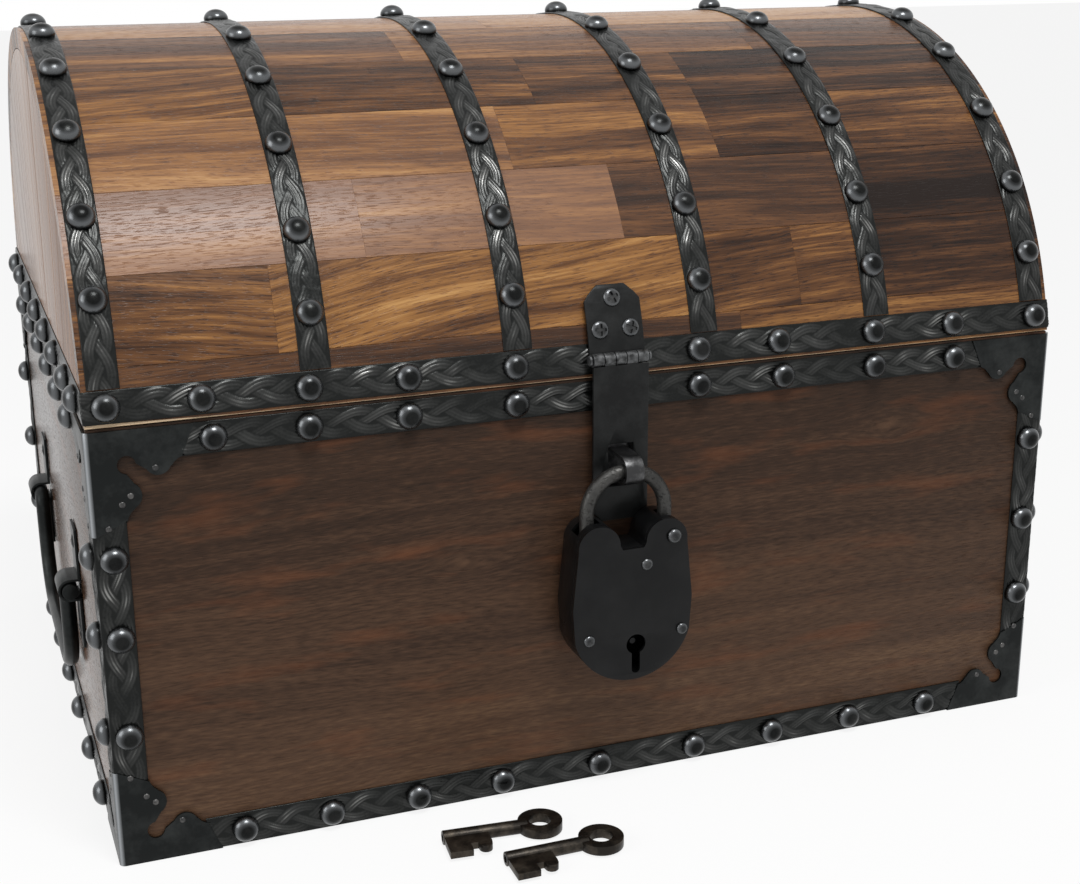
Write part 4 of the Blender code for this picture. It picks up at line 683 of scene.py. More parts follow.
def staves_tree():
    """Boards on the plan of the lid, bent over its arch, with a UV map that runs along the grain."""
    sizes = {"Width": 0.034, "Thickness": STAVE_THICKNESS, "Edge": STAVE_EDGE, "Radius": LID_RADIUS,
             "Centre height": LID_CENTRE_Z, "Seat": LID_BOTTOM}
    sheet, given = geometry_tree("staves_over_arch", sizes, {})
    width, thickness = given["Width"], given["Thickness"]
    board = sheet.field("GeometryNodeMeshCube", {"Size": sheet.join(1.0, width, thickness),
                                                 "Vertices X": 2, "Vertices Y": 12, "Vertices Z": 2})
    x, y, z = sheet.split(sheet.field("GeometryNodeInputPosition"))
    share = sheet.math("ABSOLUTE", y) * 2.0 / width
    second_row = (share > 0.75) * (share < 0.95)
    spread = 1.0 + second_row * ((1.0 - given["Edge"] * 2.0 / width) * (11.0 / 9.0) - 1.0)
    drop = (share > 0.99) * (z > 0.0) * given["Edge"]
    board = sheet.place_points(board, sheet.join(x, y * spread, z - thickness / 2.0 - drop))
    length = sheet.join(sheet.named("length"), 1.0, 1.0)
    laid = sheet.field("GeometryNodeInstanceOnPoints", {"Points": given["Geometry"], "Instance": board,
                                                        "Scale": length})
    real = sheet.field("GeometryNodeRealizeInstances", {0: laid})
    x, y, z = sheet.split(sheet.field("GeometryNodeInputPosition"))
    slant = sheet.named("slant")
    seed = sheet.named("seed")
    cosine, sine = sheet.math("COSINE", slant), sheet.math("SINE", slant)
    grain = sheet.join(x * cosine - y * sine + seed, x * sine + y * cosine + z * 0.3)
    mapped = sheet.store(real, "UVMap", grain, "FLOAT2", "CORNER")
    angle = y / given["Radius"]
    reach = given["Radius"] + z
    high = given["Centre height"] + reach * sheet.math("COSINE", angle)
    bent = sheet.join(x, 0.0 - reach * sheet.math("SINE", angle), sheet.math("MAXIMUM", high, given["Seat"]))
    outward = sheet.field("GeometryNodeFlipFaces", {0: sheet.place_points(mapped, bent)})
    return close_tree(sheet, outward, given["Material"])


studs_tree = heads_tree("domed_heads", Radius=STUD_RADIUS, Height=STUD_HEIGHT, Skirt=RELIEF)
screw_tree = heads_tree("cross_recess_screws", Radius=0.0039, Height=0.0016, Skirt=0.0003, Recess=0.0012)
stave_tree = staves_tree()


def points_object(name, places, **attributes):
    """A cloud of points with float attributes, and vector ones where a value has three numbers."""
    mesh = bpy.data.meshes.new(name)
    mesh.from_pydata([tuple(place) for place in places], [], [])
    for key, values in attributes.items():
        values = np.array(values, np.float32)
        if values.ndim == 2:
            mesh.attributes.new(key, "FLOAT_VECTOR", "POINT").data.foreach_set("vector", values.ravel())
        else:
            mesh.attributes.new(key, "FLOAT", "POINT").data.foreach_set("value", values)
    return blank(name, mesh)


def heads(name, tree, spots, material, body, slot=None, **sizes):
    """A finished piece of nail or screw heads on spots."""
    places, ways = zip(*spots)
    cloud = points_object(name, places, facing=ways)
    dress(grow(cloud, tree, material, **sizes), material, body, slot=slot)


# Plaited straps
def plait(along, across, half_width):
    """Height of a three-strand plait, from 0 to 1, at points along and across a strap."""
    swing = half_width - EDGE_RADIUS - STRAND_HALF_WIDTH - 0.0001
    turns = [2 * math.pi * (along / PLAIT_LENGTH + k / 3) for k in range(3)]
    lifts = [np.sin(2 * turn) for turn in turns]
    slopes = [2 * math.pi * swing / PLAIT_LENGTH * np.cos(turn) for turn in turns]
    offsets = [(across - swing * np.sin(t)) / np.sqrt(1 + s ** 2) for t, s in zip(turns, slopes)]
    ridge_turn = 2 * math.pi * STRAND_RIDGES / (2 * STRAND_HALF_WIDTH)
    highest = np.zeros(np.broadcast(along, across).shape)
    for k in range(3):
        share = np.clip(1 - (offsets[k] / STRAND_HALF_WIDTH) ** 2, 0, 1)
        ridges = 0.5 + 0.5 * np.cos(ridge_turn * offsets[k])
        height = share ** 0.4 * (0.48 + 0.52 * ridges) * (0.72 + 0.28 * lifts[k])
        for other in range(3):
            if other != k:
                clear = np.abs(offsets[other]) / STRAND_HALF_WIDTH
                covered = np.clip((clear - 0.95) / 0.35, 0, 1)
                height = np.where(lifts[other] > lifts[k], height * covered, height)
        highest = np.maximum(highest, height)
    return highest


def hammer(points, size, seed):
    """Gentle unevenness of hand-beaten sheet, from -1 to 1."""
    turn = np.random.default_rng(seed).uniform(0, 2 * math.pi, 9)
    x, y, z = points[..., 0] / size, points[..., 1] / size, points[..., 2] / size
    total = np.sin(1.3 * x + 2.1 * z + turn[0]) * np.sin(1.7 * y + 0.9 * z + turn[1])
    total += 0.6 * np.sin(3.1 * x - 1.1 * y + turn[2]) * np.sin(2.9 * z + 2.3 * y + turn[3])
    total += 0.4 * np.sin(5.3 * x + 4.1 * y + turn[4]) * np.sin(6.1 * z - 3.7 * x + turn[5])
    return total / 2


def raised(ground, along, across, seed, closed, folded):
    """Points round a strap's section at each place along it, and the relief on its face.

    A folded strap has one plait on each leg, either side of the middle."""
    if closed:
        tangent = np.roll(ground, -1, 0) - np.roll(ground, 1, 0)
    else:
        tangent = np.gradient(ground, axis=0)
    normal = np.cross(tangent, np.gradient(ground, axis=1))
    outward = ground - np.array((0, 0, LID_CENTRE_Z / 2))
    if np.mean(np.sum(normal * outward, 2)) < 0:
        ground, across, normal = ground[:, ::-1], across[::-1], -normal[:, ::-1]
    normal = normal / np.linalg.norm(normal, axis=2, keepdims=True)
    half = float(np.max(np.abs(across)))
    place, reach = across, half
    if folded:
        place, reach = (np.abs(across) - half / 2) * np.sign(across), half / 2
    beaten = np.clip(0.70 + 0.80 * hammer(ground, 0.017, seed + 50), 0.12, 1.0)
    pattern = plait(along[:, None], place[None, :], reach) * beaten
    from_edge = np.clip((half - np.abs(across)) / EDGE_RADIUS, 0, 1)[None, :]
    fall = (1 - np.sqrt(1 - (1 - from_edge) ** 2)) * EDGE_RADIUS
    rough = hammer(ground, 0.0032, seed) * HAMMER_DEPTH * from_edge * (1 - pattern)
    face = ground + normal * (pattern * RELIEF - fall + rough)[..., None]
    sides = [-1, len(across) // 2, 0]
    back = ground[:, sides] - normal[:, sides] * (STRAP_THICKNESS - RELIEF)
    relief = np.concatenate([pattern, np.zeros((len(ground), 3))], 1)
    return np.concatenate([face, back], 1), relief


def quad_mesh(name, points, quads, caps):
    """A mesh from arrays of points and quads, and a few faces with more corners."""
    mesh = bpy.data.meshes.new(name)
    mesh.vertices.add(len(points))
    mesh.vertices.foreach_set("co", points.astype(np.float32).ravel())
    corners = np.concatenate([quads.ravel(), *caps]).astype(np.int32)
    sizes = [4] * len(quads) + [len(cap) for cap in caps]
    mesh.loops.add(len(corners))
    mesh.loops.foreach_set("vertex_index", corners)
    mesh.polygons.add(len(sizes))
    mesh.polygons.foreach_set("loop_start", np.concatenate([[0], np.cumsum(sizes)[:-1]]).astype(np.int32))
    mesh.update(calc_edges=True)
    mesh.validate()
    return mesh


def strap(name, body, node, runs, seed, closed=False, folded=False):
    """An embossed strap with a flat back. Each run is its ground and its places along and across."""
    points, relief, quads, caps, first = [], [], [], [], 0
    for ground, along, across in runs:
        rings, pattern = raised(ground, along, across, seed, closed, folded)
        count, section = pattern.shape
        index = first + np.arange(count * section).reshape(count, section)
        here = index if closed else index[:-1]
        there = np.roll(index, -1, 0) if closed else index[1:]
        quads.append(np.stack([here, there, np.roll(there, -1, 1), np.roll(here, -1, 1)], -1).reshape(-1, 4))
        caps += [] if closed else [index[0], index[-1][::-1]]
        points.append(rings.reshape(-1, 3))
        relief.append(pattern.ravel())
        first += count * section
    mesh = quad_mesh(name, np.concatenate(points), np.concatenate(quads), caps)
    paint(mesh, relief=np.concatenate(relief))
    dress(blank(name, mesh), iron_embossed, body, node, sharp_deg=60.0)


def across_strap(width):
    """Places across a strap, with two rows inside each rounded edge."""
    half = width / 2
    inside = np.linspace(-half + EDGE_RADIUS, half - EDGE_RADIUS, int(width / STEP_ACROSS))
    rounding = half - EDGE_RADIUS * np.array((0.0, 0.13, 0.5))
    return np.concatenate([-rounding, inside, rounding[::-1]])


def wall_runs(low, high, up):
    """The ground of a strap on the body's four walls, whose ends slant like the corner plates' arms."""
    out_x, out_y = HALF_WIDTH + GROUND, HALF_DEPTH + GROUND
    inset = PLATE_ARM * PLATE_SHARE_ALONG + PLATE_TO_STRAP
    across = across_strap(high - low)
    runs = []
    for axis, wall, way in ((0, -out_y, 1), (1, out_x, 1), (0, out_y, -1), (1, -out_x, -1)):
        half = (HALF_WIDTH, HALF_DEPTH)[axis] - inset
        longer = 1 + PLATE_END_SLANT * (0.5 + up * across / (high - low)) / half
        along = np.linspace(0, 2 * half, int(2 * half / STEP_ALONG))
        moving = way * (2 * half * (along[:, None] / (2 * half)) - half) * longer
        xs, ys = (wall, moving) if axis else (moving, wall)
        runs.append((grid(xs, ys, (low + high) / 2 + across), along, across))
    return runs


def lid_ring(low, high):
    """The ground of the strap round the lid's edge, which leans in with the arch."""
    radius = LID_RADIUS + GROUND
    depth = math.sqrt(radius ** 2 - (low - LID_CENTRE_Z) ** 2)
    size = np.array((HALF_WIDTH + GROUND, depth))
    corners = [np.array(corner) for corner in corner_arcs(-size, size, CORNER_ROUND)]
    path = []
    for here, there in zip(corners, corners[1:] + corners[:1]):
        stretch = there[0] - here[-1]
        count = int(math.hypot(*stretch) / RING_STEP_ALONG)
        path += [here, here[-1] + stretch * np.arange(1, count)[:, None] / count]
    path = np.concatenate(path)
    along = np.concatenate([[0], np.cumsum(np.linalg.norm(np.diff(path, axis=0), axis=1))])
    across = across_strap(high - low)
    zs = (low + high) / 2 + across[None, :]
    lean = np.sqrt(radius ** 2 - (zs - LID_CENTRE_Z) ** 2) / depth
    return grid(path[:, :1], path[:, 1:] * lean, zs), along, across


def arch_straps():
    """The straps over the arch. Gives the angle at which they end."""
    end = front_angle(LID_RADIUS + GAP, LID_RIM_HIGH + GAP)
    across = across_strap(ARCH_STRAP_WIDTH)
    radius = LID_RADIUS + GROUND
    angles = np.linspace(end, -end, int(2 * end * radius / STEP_ALONG))
    for number in range(1, 7):
        low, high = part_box(f"lid_band_{number}")
        ys, zs = -radius * np.sin(angles[:, None]), LID_CENTRE_Z + radius * np.cos(angles[:, None])
        run = (grid((low.x + high.x) / 2 + across, ys, zs), angles * radius + 0.007 * number, across)
        strap(f"arch_strap_{number}", "lid", f"lid_band_{number}", [run], 10 + number)
    return end


def corner_straps():
    """Angle straps up the corners, each leg with its own plait."""
    bend = np.array(arc((-CORNER_ROUND, -CORNER_ROUND), CORNER_ROUND, 90, 0, 5))
    flat = across_strap(CORNER_LEG) - CORNER_LEG / 2
    flat = flat[flat < -CORNER_ROUND - 0.0001]
    front = np.stack([flat, 0 * flat], 1)
    section = np.concatenate([front, bend, front[::-1, ::-1]])
    steps = np.concatenate([[0], np.cumsum(np.linalg.norm(np.diff(section, axis=0), axis=1))])
    across = steps - steps[-1] / 2
    low, high = FOOT_LOW + PLATE_ARM + PLATE_TO_STRAP, RIM_HIGH - PLATE_ARM - PLATE_TO_STRAP
    along = np.linspace(low, high, int((high - low) / STEP_ALONG))
    longer = 1 + PLATE_END_SLANT * np.clip(-section.min(1) / CORNER_LEG, 0, 1) / ((high - low) / 2)
    zs = (low + high) / 2 + (along[:, None] - (low + high) / 2) * longer
    for number, (name, side, facing) in enumerate(CORNERS):
        xs = side * (HALF_WIDTH + GROUND + section[:, 0])
        ys = facing * (HALF_DEPTH + GROUND + section[:, 1])
        run = (grid(xs, ys, zs), along + 0.011 * number, across)
        strap(f"corner_strap_{name}_embossed", "body", f"corner_strip_{name}", [run], 20 + number,
              folded=True)


# Boards
def panel_finish(obj, along, across, seed, tone, blush=0.0, floor_reflection_slope=0.0):
    """A UV map in metres along the grain and across it, and the board's tone, paler towards the foot as a
    painted reflection of the floor.
    """
    mesh = obj.data
    co = points_array(mesh)
    u = co[:, along] + seed
    v = co[:, across] + 0.6 * co[:, 3 - along - across]
    corner = np.empty(len(mesh.loops), np.int32)
    mesh.loops.foreach_get("vertex_index", corner)
    layer = mesh.uv_layers.new(name="UVMap")
    layer.data.foreach_set("uv", np.stack([u[corner], v[corner]], 1).astype(np.float32).ravel())
    paint(mesh, tone=tone - floor_reflection_slope * (co[:, 2] - co[:, 2].mean()), blush=blush)


def body_panels():
    """Five boards, each with the axes along and across its grain, a grain seed and a tone."""
    for name, along, across, seed, tone in (
            ("front_panel", 0, 2, 0.0, 0.43), ("back_panel", 0, 2, 5.3, 0.40),
            ("left_end_panel", 1, 2, 9.1, 0.46), ("right_end_panel", 1, 2, 13.7, 0.40),
            ("bottom_panel", 0, 1, 17.9, 0.42)):
        panel = round_edges(block(f"{name}_board", *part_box(name)), 0.0005)
        # The panels grow paler towards the foot: painted reflection of the floor
        panel_finish(panel, along, across, seed, tone, floor_reflection_slope=2.5)
        dress(panel, end_wood if "end" in name else body_wood, "body", name)


# Each row of staves from the front edge over the crown to the back: where each board starts along X,
# its tone, its share of painted pink glare and the slant of its grain in degrees
# In the four front rows the tones also fall from left to right: painted glare on the lid's left and painted
# shade on its right, over the boards' own tones
STAVE_ROWS = (
    ((-0.216, 0.57, 0.0, -5.0), (-0.140, 0.65, 0.0, 10.0), (0.045, 0.44, 0.0, 6.0), (0.090, 0.40, 0.0, 2.0),
     (0.128, 0.27, 0.0, 0.0)),
    ((-0.216, 0.62, 0.55, 1.0), (-0.100, 0.60, 0.42, -1.0), (0.012, 0.28, 0.06, 0.0),
     (0.128, 0.08, 0.0, 0.0)),
    ((-0.216, 0.66, 0.20, -2.0), (-0.030, 0.58, 0.06, 0.0), (0.066, 0.26, 0.0, 1.0), (0.120, 0.42, 0.0, 1.0)),
    ((-0.216, 0.58, 0.05, 4.0), (-0.125, 0.44, 0.0, -2.0), (-0.010, 0.36, 0.0, 0.0), (0.066, 0.14, 0.0, 0.0)),
    ((-0.216, 0.34, 0.10, 0.0), (-0.060, 0.54, 0.12, 0.0), (0.110, 0.42, 0.10, 0.0)),
    ((-0.216, 0.70, 0.35, 0.0), (-0.010, 0.84, 0.35, 1.0)),
    ((-0.216, 0.36, 0.0, 0.0), (0.070, 0.48, 0.0, 0.0)),
    ((-0.216, 0.62, 0.0, 4.0), (-0.080, 0.40, 0.0, 0.0), (0.140, 0.58, 0.0, -3.0)),
    ((-0.216, 0.44, 0.1, 0.0), (0.020, 0.66, 0.0, 5.0)),
    ((-0.216, 0.28, 0.0, 0.0), (-0.120, 0.52, 0.1, 0.0), (0.060, 0.34, 0.0, 0.0)),
    ((-0.216, 0.56, 0.0, -4.0), (-0.020, 0.30, 0.0, 0.0), (0.100, 0.60, 0.0, 2.0)),
    ((-0.216, 0.68, 0.0, 3.0), (0.040, 0.46, 0.0, 0.0)),
)


def stave_row(boards, arc_place, seed):
    """Plan of one row: the middle of each board, and its length, tone, share of painted glare, slant and
    grain seed.
    """
    ends = [board[0] for board in boards[1:]] + [HALF_WIDTH]
    plan = []
    for i, ((start, tone, blush, slant), end) in enumerate(zip(boards, ends)):
        first = max(start, -HALF_WIDTH) + (STAVE_GAP / 2 if i else 0)
        last = end - (STAVE_GAP / 2 if i < len(boards) - 1 else 0)
        place = ((first + last) / 2, arc_place, 0.0)
        plan.append((place, last - first, tone, blush, math.radians(slant), 0.7 * seed + 1.9 * i))
    return plan


def lay_staves(name, plan, width, node):
    places, length, tone, blush, slant, seed = zip(*plan)
    cloud = points_object(name, places, length=length, tone=tone, blush=blush, slant=slant, seed=seed)
    dress(grow(cloud, stave_tree, lid_wood, Width=width), lid_wood, "lid", node, sharp_deg=28.0)


def lid_staves():
    row_angle = ROW_ANGLE / ROWS
    row_width = row_angle * LID_RADIUS
    for number in range(ROWS // 2):
        plan = []
        for row in (2 * number, 2 * number + 1):
            plan += stave_row(STAVE_ROWS[row], (ROW_ANGLE / 2 - (row + 0.5) * row_angle) * LID_RADIUS, row)
        lay_staves(f"lid_staves_{number + 1}", plan, row_width - STAVE_GAP, f"lid_board_{number + 1}")
    rim_width = (front_angle(LID_RADIUS, LID_BOTTOM) - ROW_ANGLE / 2) * LID_RADIUS
    for side, place, seed, tone in ((1, "front", 21, 0.40), (-1, "back", 22, 0.44)):
        middle = side * (ROW_ANGLE / 2 * LID_RADIUS + rim_width / 2)
        plan = stave_row(((-0.216, tone, 0.05, 0.0), (0.060, tone + 0.08, 0.0, 0.0)), middle, seed)
        lay_staves(f"lid_rim_stave_{place}", plan, rim_width - STAVE_GAP, f"lid_rim_board_{place}")


def lid_ends():
    """The two D-shaped end boards, which stand inside the staves."""
    low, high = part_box("lid_left_end")
    radius = LID_RADIUS - STAVE_THICKNESS - GAP
    limit = math.degrees(front_angle(radius, LID_BOTTOM))
    outline = arc((0.0, LID_CENTRE_Z), radius, 90 - limit, 90 + limit, 96)
    for side, x, seed in (("left", (low.x + high.x) / 2, 2.1), ("right", -(low.x + high.x) / 2, 6.4)):
        board = plate(f"lid_{side}_end_board", [outline], high.x - low.x, FACING_END, (x, 0.0, 0.0), 0.0004)
        # A little painted pink glare on the lid's end boards
        panel_finish(board, 1, 2, seed, 0.55, 0.12)
        dress(board, lid_end_wood, "lid", f"lid_{side}_end")


# Studs
def front_row(shares):
    return [share * 4 * STUD_STEP for share in shares]


def studs(arch_end):
    """Domed studs along all straps, as one piece for the body and one for the lid."""
    whole_row = [k * STUD_STEP for k in range(-4, 5)]
    beside_hinges = [k * STUD_STEP for k in range(-4, 5) if abs(k) != 2]
    spots = wall_row((RIM_LOW + RIM_HIGH) / 2, front_row(RIM_STUD_SHARES), beside_hinges)
    spots += wall_row((FOOT_LOW + FOOT_HIGH) / 2, front_row(FOOT_STUD_SHARES), whole_row)
    for name, side, facing in CORNERS:
        for height, stray in zip(CORNER_STUD_HEIGHTS, CORNER_STUD_STRAYS.get(name, (0.0, 0.0, 0.0))):
            spots += corner_spots(side, facing, CORNER_LEG / 2, STRAP_OUTER, height + stray)
    heads("body_studs", studs_tree, spots, stud_iron, "body")
    outer = LID_RADIUS + STRAP_OUTER
    middles = [sum(corner.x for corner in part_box(f"lid_band_{number}")) / 2 for number in range(1, 7)]
    spots = []
    for number, x in enumerate(middles):
        for share in ARCH_STUD_SHARES:
            rise = FIRST_STRAP_STUD_RISE if number == 0 and share > 0 else 0.0
            spots.append(arch_spot(x, (share - rise) * arch_end, outer))
    height = (LID_RIM_LOW + LID_RIM_HIGH) / 2
    angle = front_angle(outer, height)
    for facing, row in ((-1, front_row(LID_EDGE_STUD_SHARES)), (1, beside_hinges)):
        spots += [arch_spot(x, -facing * angle, outer) for x in row + [-middles[-1], middles[-1]]]
    last = HALF_DEPTH - LID_END_STUD_INSET
    spots += end_rows(HALF_WIDTH + STRAP_OUTER, height, [-last, *END_STUDS, last])
    heads("lid_studs", studs_tree, spots, stud_iron, "lid")


# Corner plates
def corner_plates():
    """Sheet plates drawn flat with both wings, then folded round the corner.

    Half a wing runs from the end of its arm to the round notch between the two lobes."""
    half = [(PLATE_ARM, 0.0), (PLATE_ARM - PLATE_END_SLANT, 0.0125)]
    half += arc((0.0378, 0.0195), 0.0070, 264, 212, 8)
    half += arc((0.0264, 0.0138), 0.0054, 24, 150, 18)
    half += arc((0.0139, 0.0139), 0.0037, -4, -135, 14)
    wing = [(u * PLATE_SHARE_ALONG, v) for u, v in half + [(v, u) for u, v in reversed(half)]]
    right = [(u + PLATE_OUTER, v) for u, v in wing]
    outline = right + [(-u, v) for u, v in reversed(right)]
    spots = []
    for level, edge, up in (("top", RIM_HIGH, -1), ("bottom", FOOT_LOW, 1)):
        for name, side, facing in CORNERS:
            piece = plate(f"corner_plate_{level}_{name}", [outline], PLATE_THICKNESS)
            fold(piece, side, facing, edge, up)
            dress(piece, iron_sheet, "body", f"corner_bracket_{level}_{name}")
            for u, v in PLATE_NAILS:
                spots += corner_spots(side, facing, u, PLATE_OUTER, edge + up * v)
    heads("corner_plate_nails", studs_tree, spots, nail_steel, "body", Radius=0.0013, Height=0.0005,
          Skirt=0.0002, Sides=14, Rings=8)


def fold(obj, side, facing, edge, up):
    """Fold a flat sheet round an upright corner. Its X counts from the fold, its Y from the level's edge."""
    cut_across(obj, (1, 0, 0), [PLATE_FOLD * i / 6 for i in range(-6, 7)], 0.000005)
    u, v, w = points_array(obj.data).T
    paint(obj.data, wear=np.clip(1.0 - 1.2 * np.abs(u) / PLATE_FOLD, 0, 1))
    turn = np.clip(u / PLATE_FOLD, -1, 1) * math.pi / 4 + math.pi / 4
    past = np.maximum(np.abs(u) - PLATE_FOLD, 0)
    radius = PLATE_FOLD * 4 / math.pi
    centre = PLATE_OUTER - PLATE_THICKNESS / 2 - radius
    x = centre + (radius + w) * np.sin(turn) - np.where(u < 0, past, 0)
    y = centre + (radius + w) * np.cos(turn) - np.where(u > 0, past, 0)
    set_points(obj.data, grid(side * (HALF_WIDTH + x), facing * (HALF_DEPTH + y), edge + up * v))
    tidy_mesh(obj)


# Butt hinges
PIN_PLAY = 0.00025
LEAF_RADIUS = LID_RADIUS + STRAP_OUTER + GAP
LEAF_CORNER = 0.003
HINGE_LEAF = 0.026
HINGE_LEAF_THICKNESS = 0.0014
HINGE_AXIS_OFFSET = 0.0030
HINGE_KNUCKLE = 0.0029
HINGE_PIN = 0.0015
HINGE_SCREWS = ((-0.011, 0.016), (0.0, 0.009), (0.011, 0.016))
SCREW_SIZES = {"Radius": 0.0031, "Height": 0.0008, "Recess": 0.0007}


def add_barrel(leaf, axis, radius, own, others, pin):
    """Give a leaf its own knuckles, clear the other leaf's and bore it for the pin."""
    def knuckle(size, low, high):
        return rod("knuckle", size, (low, *axis), (high, *axis), 36)

    for low, high in others:
        leaf = combine(leaf, knuckle(radius + 0.0005, low - 0.0004, high + 0.0004), "DIFFERENCE")
    for low, high in own:
        leaf = combine(leaf, knuckle(radius, low, high), "UNION")
    ends = own[0][0] - 0.05, own[-1][1] + 0.05
    return combine(leaf, rod("bore", pin + PIN_PLAY, (ends[0], *axis), (ends[1], *axis), 24), "DIFFERENCE")


def split_barrel(low, high, count):
    step = (high - low) / count
    spans = [(low + i * step + 0.0002, low + (i + 1) * step - 0.0002) for i in range(count)]
    return spans[0::2], spans[1::2]


def rear_hinges():
    """Two butt hinges with three screws in each leaf. Gives the screws' spots on the body and on the lid."""
    leaf_y = HALF_DEPTH + STRAP_OUTER + GAP
    axis = (leaf_y + HINGE_AXIS_OFFSET, SEAM)
    overlap = HINGE_AXIS_OFFSET - HINGE_PIN - PIN_PLAY
    top = SEAM - overlap
    start = front_angle(LEAF_RADIUS, SEAM + overlap) * LEAF_RADIUS
    body_spots, lid_spots = [], []
    for side in ("left", "right"):
        low, high = (corner.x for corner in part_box(f"hinge_{side}_body_leaf"))
        inner_low, inner_high = low + LEAF_CORNER, high - LEAF_CORNER
        outer, middle = split_barrel(low, high, 3)
        round_z = top - HINGE_LEAF + LEAF_CORNER
        outline = [(low, top)] + arc((inner_low, round_z), LEAF_CORNER, 180, 270, 6)
        outline += arc((inner_high, round_z), LEAF_CORNER, 270, 360, 6) + [(high, top)]
        leaf = plate(f"rear_hinge_{side}_body_leaf", [outline], HINGE_LEAF_THICKNESS, FACING_FRONT,
                     (0.0, leaf_y + HINGE_LEAF_THICKNESS / 2, 0.0))
        leaf = add_barrel(leaf, axis, HINGE_KNUCKLE, outer, middle, HINGE_PIN)
        dress(leaf, iron_sheet, "body", f"hinge_{side}_body_leaf")
        round_y = HINGE_LEAF - start - LEAF_CORNER
        outline = [(low, -start), (high, -start)] + arc((inner_high, round_y), LEAF_CORNER, 0, 90, 6)
        outline += arc((inner_low, round_y), LEAF_CORNER, 90, 180, 6)
        leaf = plate(f"rear_hinge_{side}_lid_leaf", [outline], HINGE_LEAF_THICKNESS, LYING_FLAT,
                     (0.0, 0.0, HINGE_LEAF_THICKNESS / 2))
        leaf = add_barrel(over_arch(leaf, LEAF_RADIUS), axis, HINGE_KNUCKLE, middle, outer, HINGE_PIN)
        dress(leaf, iron_sheet, "lid", f"hinge_{side}_lid_leaf")
        for aside, down in HINGE_SCREWS:
            x = (low + high) / 2 + aside
            body_spots.append(((x, leaf_y + HINGE_LEAF_THICKNESS, top - down), (0, 1, 0)))
            lid_spots.append(arch_spot(x, (down - start) / LEAF_RADIUS, LEAF_RADIUS + HINGE_LEAF_THICKNESS))
    return body_spots, lid_spots


# Hasp and staple
HASP_LEAF_CUT = 0.0063
HASP_STRAP_CUT = 0.0039
HASP_LEAF_LENGTH = 0.0303
HASP_LEAF_THICKNESS = 0.0012
HASP_STRAP_THICKNESS = 0.0014
HASP_KNUCKLE = 0.00275
HASP_PIN = 0.0012
HASP_SLOT_WIDTH = 0.0115
HASP_SLOT_DROPS = (0.0550, 0.0365)
HASP_SCREWS = ((-0.0069, 0.0187), (0.0069, 0.0187), (0.0, 0.0057))
STAPLE_THICKNESS = 0.0014
STAPLE_PLATE = 0.0012
STAPLE_INNER = 0.0048
STAPLE_REACH = 0.0154
STAPLE_WIDTH = 0.0080
STAPLE_SCREW_INSET = 0.0042


def hasp():
    """The hasp's leaf bent to the lid, and its flat slotted strap. Gives the spots of the leaf's screws."""
    axis_y, axis_z = HASP_AXIS
    left, right = (corner.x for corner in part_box("hasp_lid_leaf"))
    outer, middle = split_barrel(left, right, 5)
    start = front_angle(LEAF_RADIUS, axis_z) * LEAF_RADIUS
    end = start - HASP_LEAF_LENGTH
    cut = HASP_LEAF_CUT
    outline = [(left, start), (left, end + cut * 1.05), (left + cut * 0.35, end + cut * 0.60),
               (left + cut, end), (right - cut, end), (right - cut * 0.35, end + cut * 0.60),
               (right, end + cut * 1.05), (right, start)]
    leaf = plate("hasp_leaf", [outline], HASP_LEAF_THICKNESS, LYING_FLAT, (0, 0, HASP_LEAF_THICKNESS / 2))
    leaf = add_barrel(over_arch(leaf, LEAF_RADIUS), HASP_AXIS, HASP_KNUCKLE, outer, middle, HASP_PIN)
    dress(leaf, hasp_paint, "lid", "hasp_lid_leaf")
    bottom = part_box("hasp_strap")[0].z
    cut = HASP_STRAP_CUT
    outline = [(left, axis_z), (left, bottom + cut), (left + cut, bottom), (right - cut, bottom),
               (right, bottom + cut), (right, axis_z)]
    x = (left + right) / 2
    low, high = (axis_z - drop for drop in HASP_SLOT_DROPS)
    slot = corner_arcs((x - HASP_SLOT_WIDTH / 2, low), (x + HASP_SLOT_WIDTH / 2, high), 0.0006)
    flap = plate("hasp_slotted_strap", [outline, sum(slot, [])], HASP_STRAP_THICKNESS, FACING_FRONT,
                 (0.0, axis_y - HASP_STRAP_THICKNESS, 0.0))
    flap = add_barrel(flap, HASP_AXIS, HASP_KNUCKLE, middle, outer, HASP_PIN)
    dress(flap, hasp_paint, "hasp", "hasp_strap")
    return [arch_spot(x + aside, (end + down) / LEAF_RADIUS, LEAF_RADIUS + HASP_LEAF_THICKNESS)
            for aside, down in HASP_SCREWS]


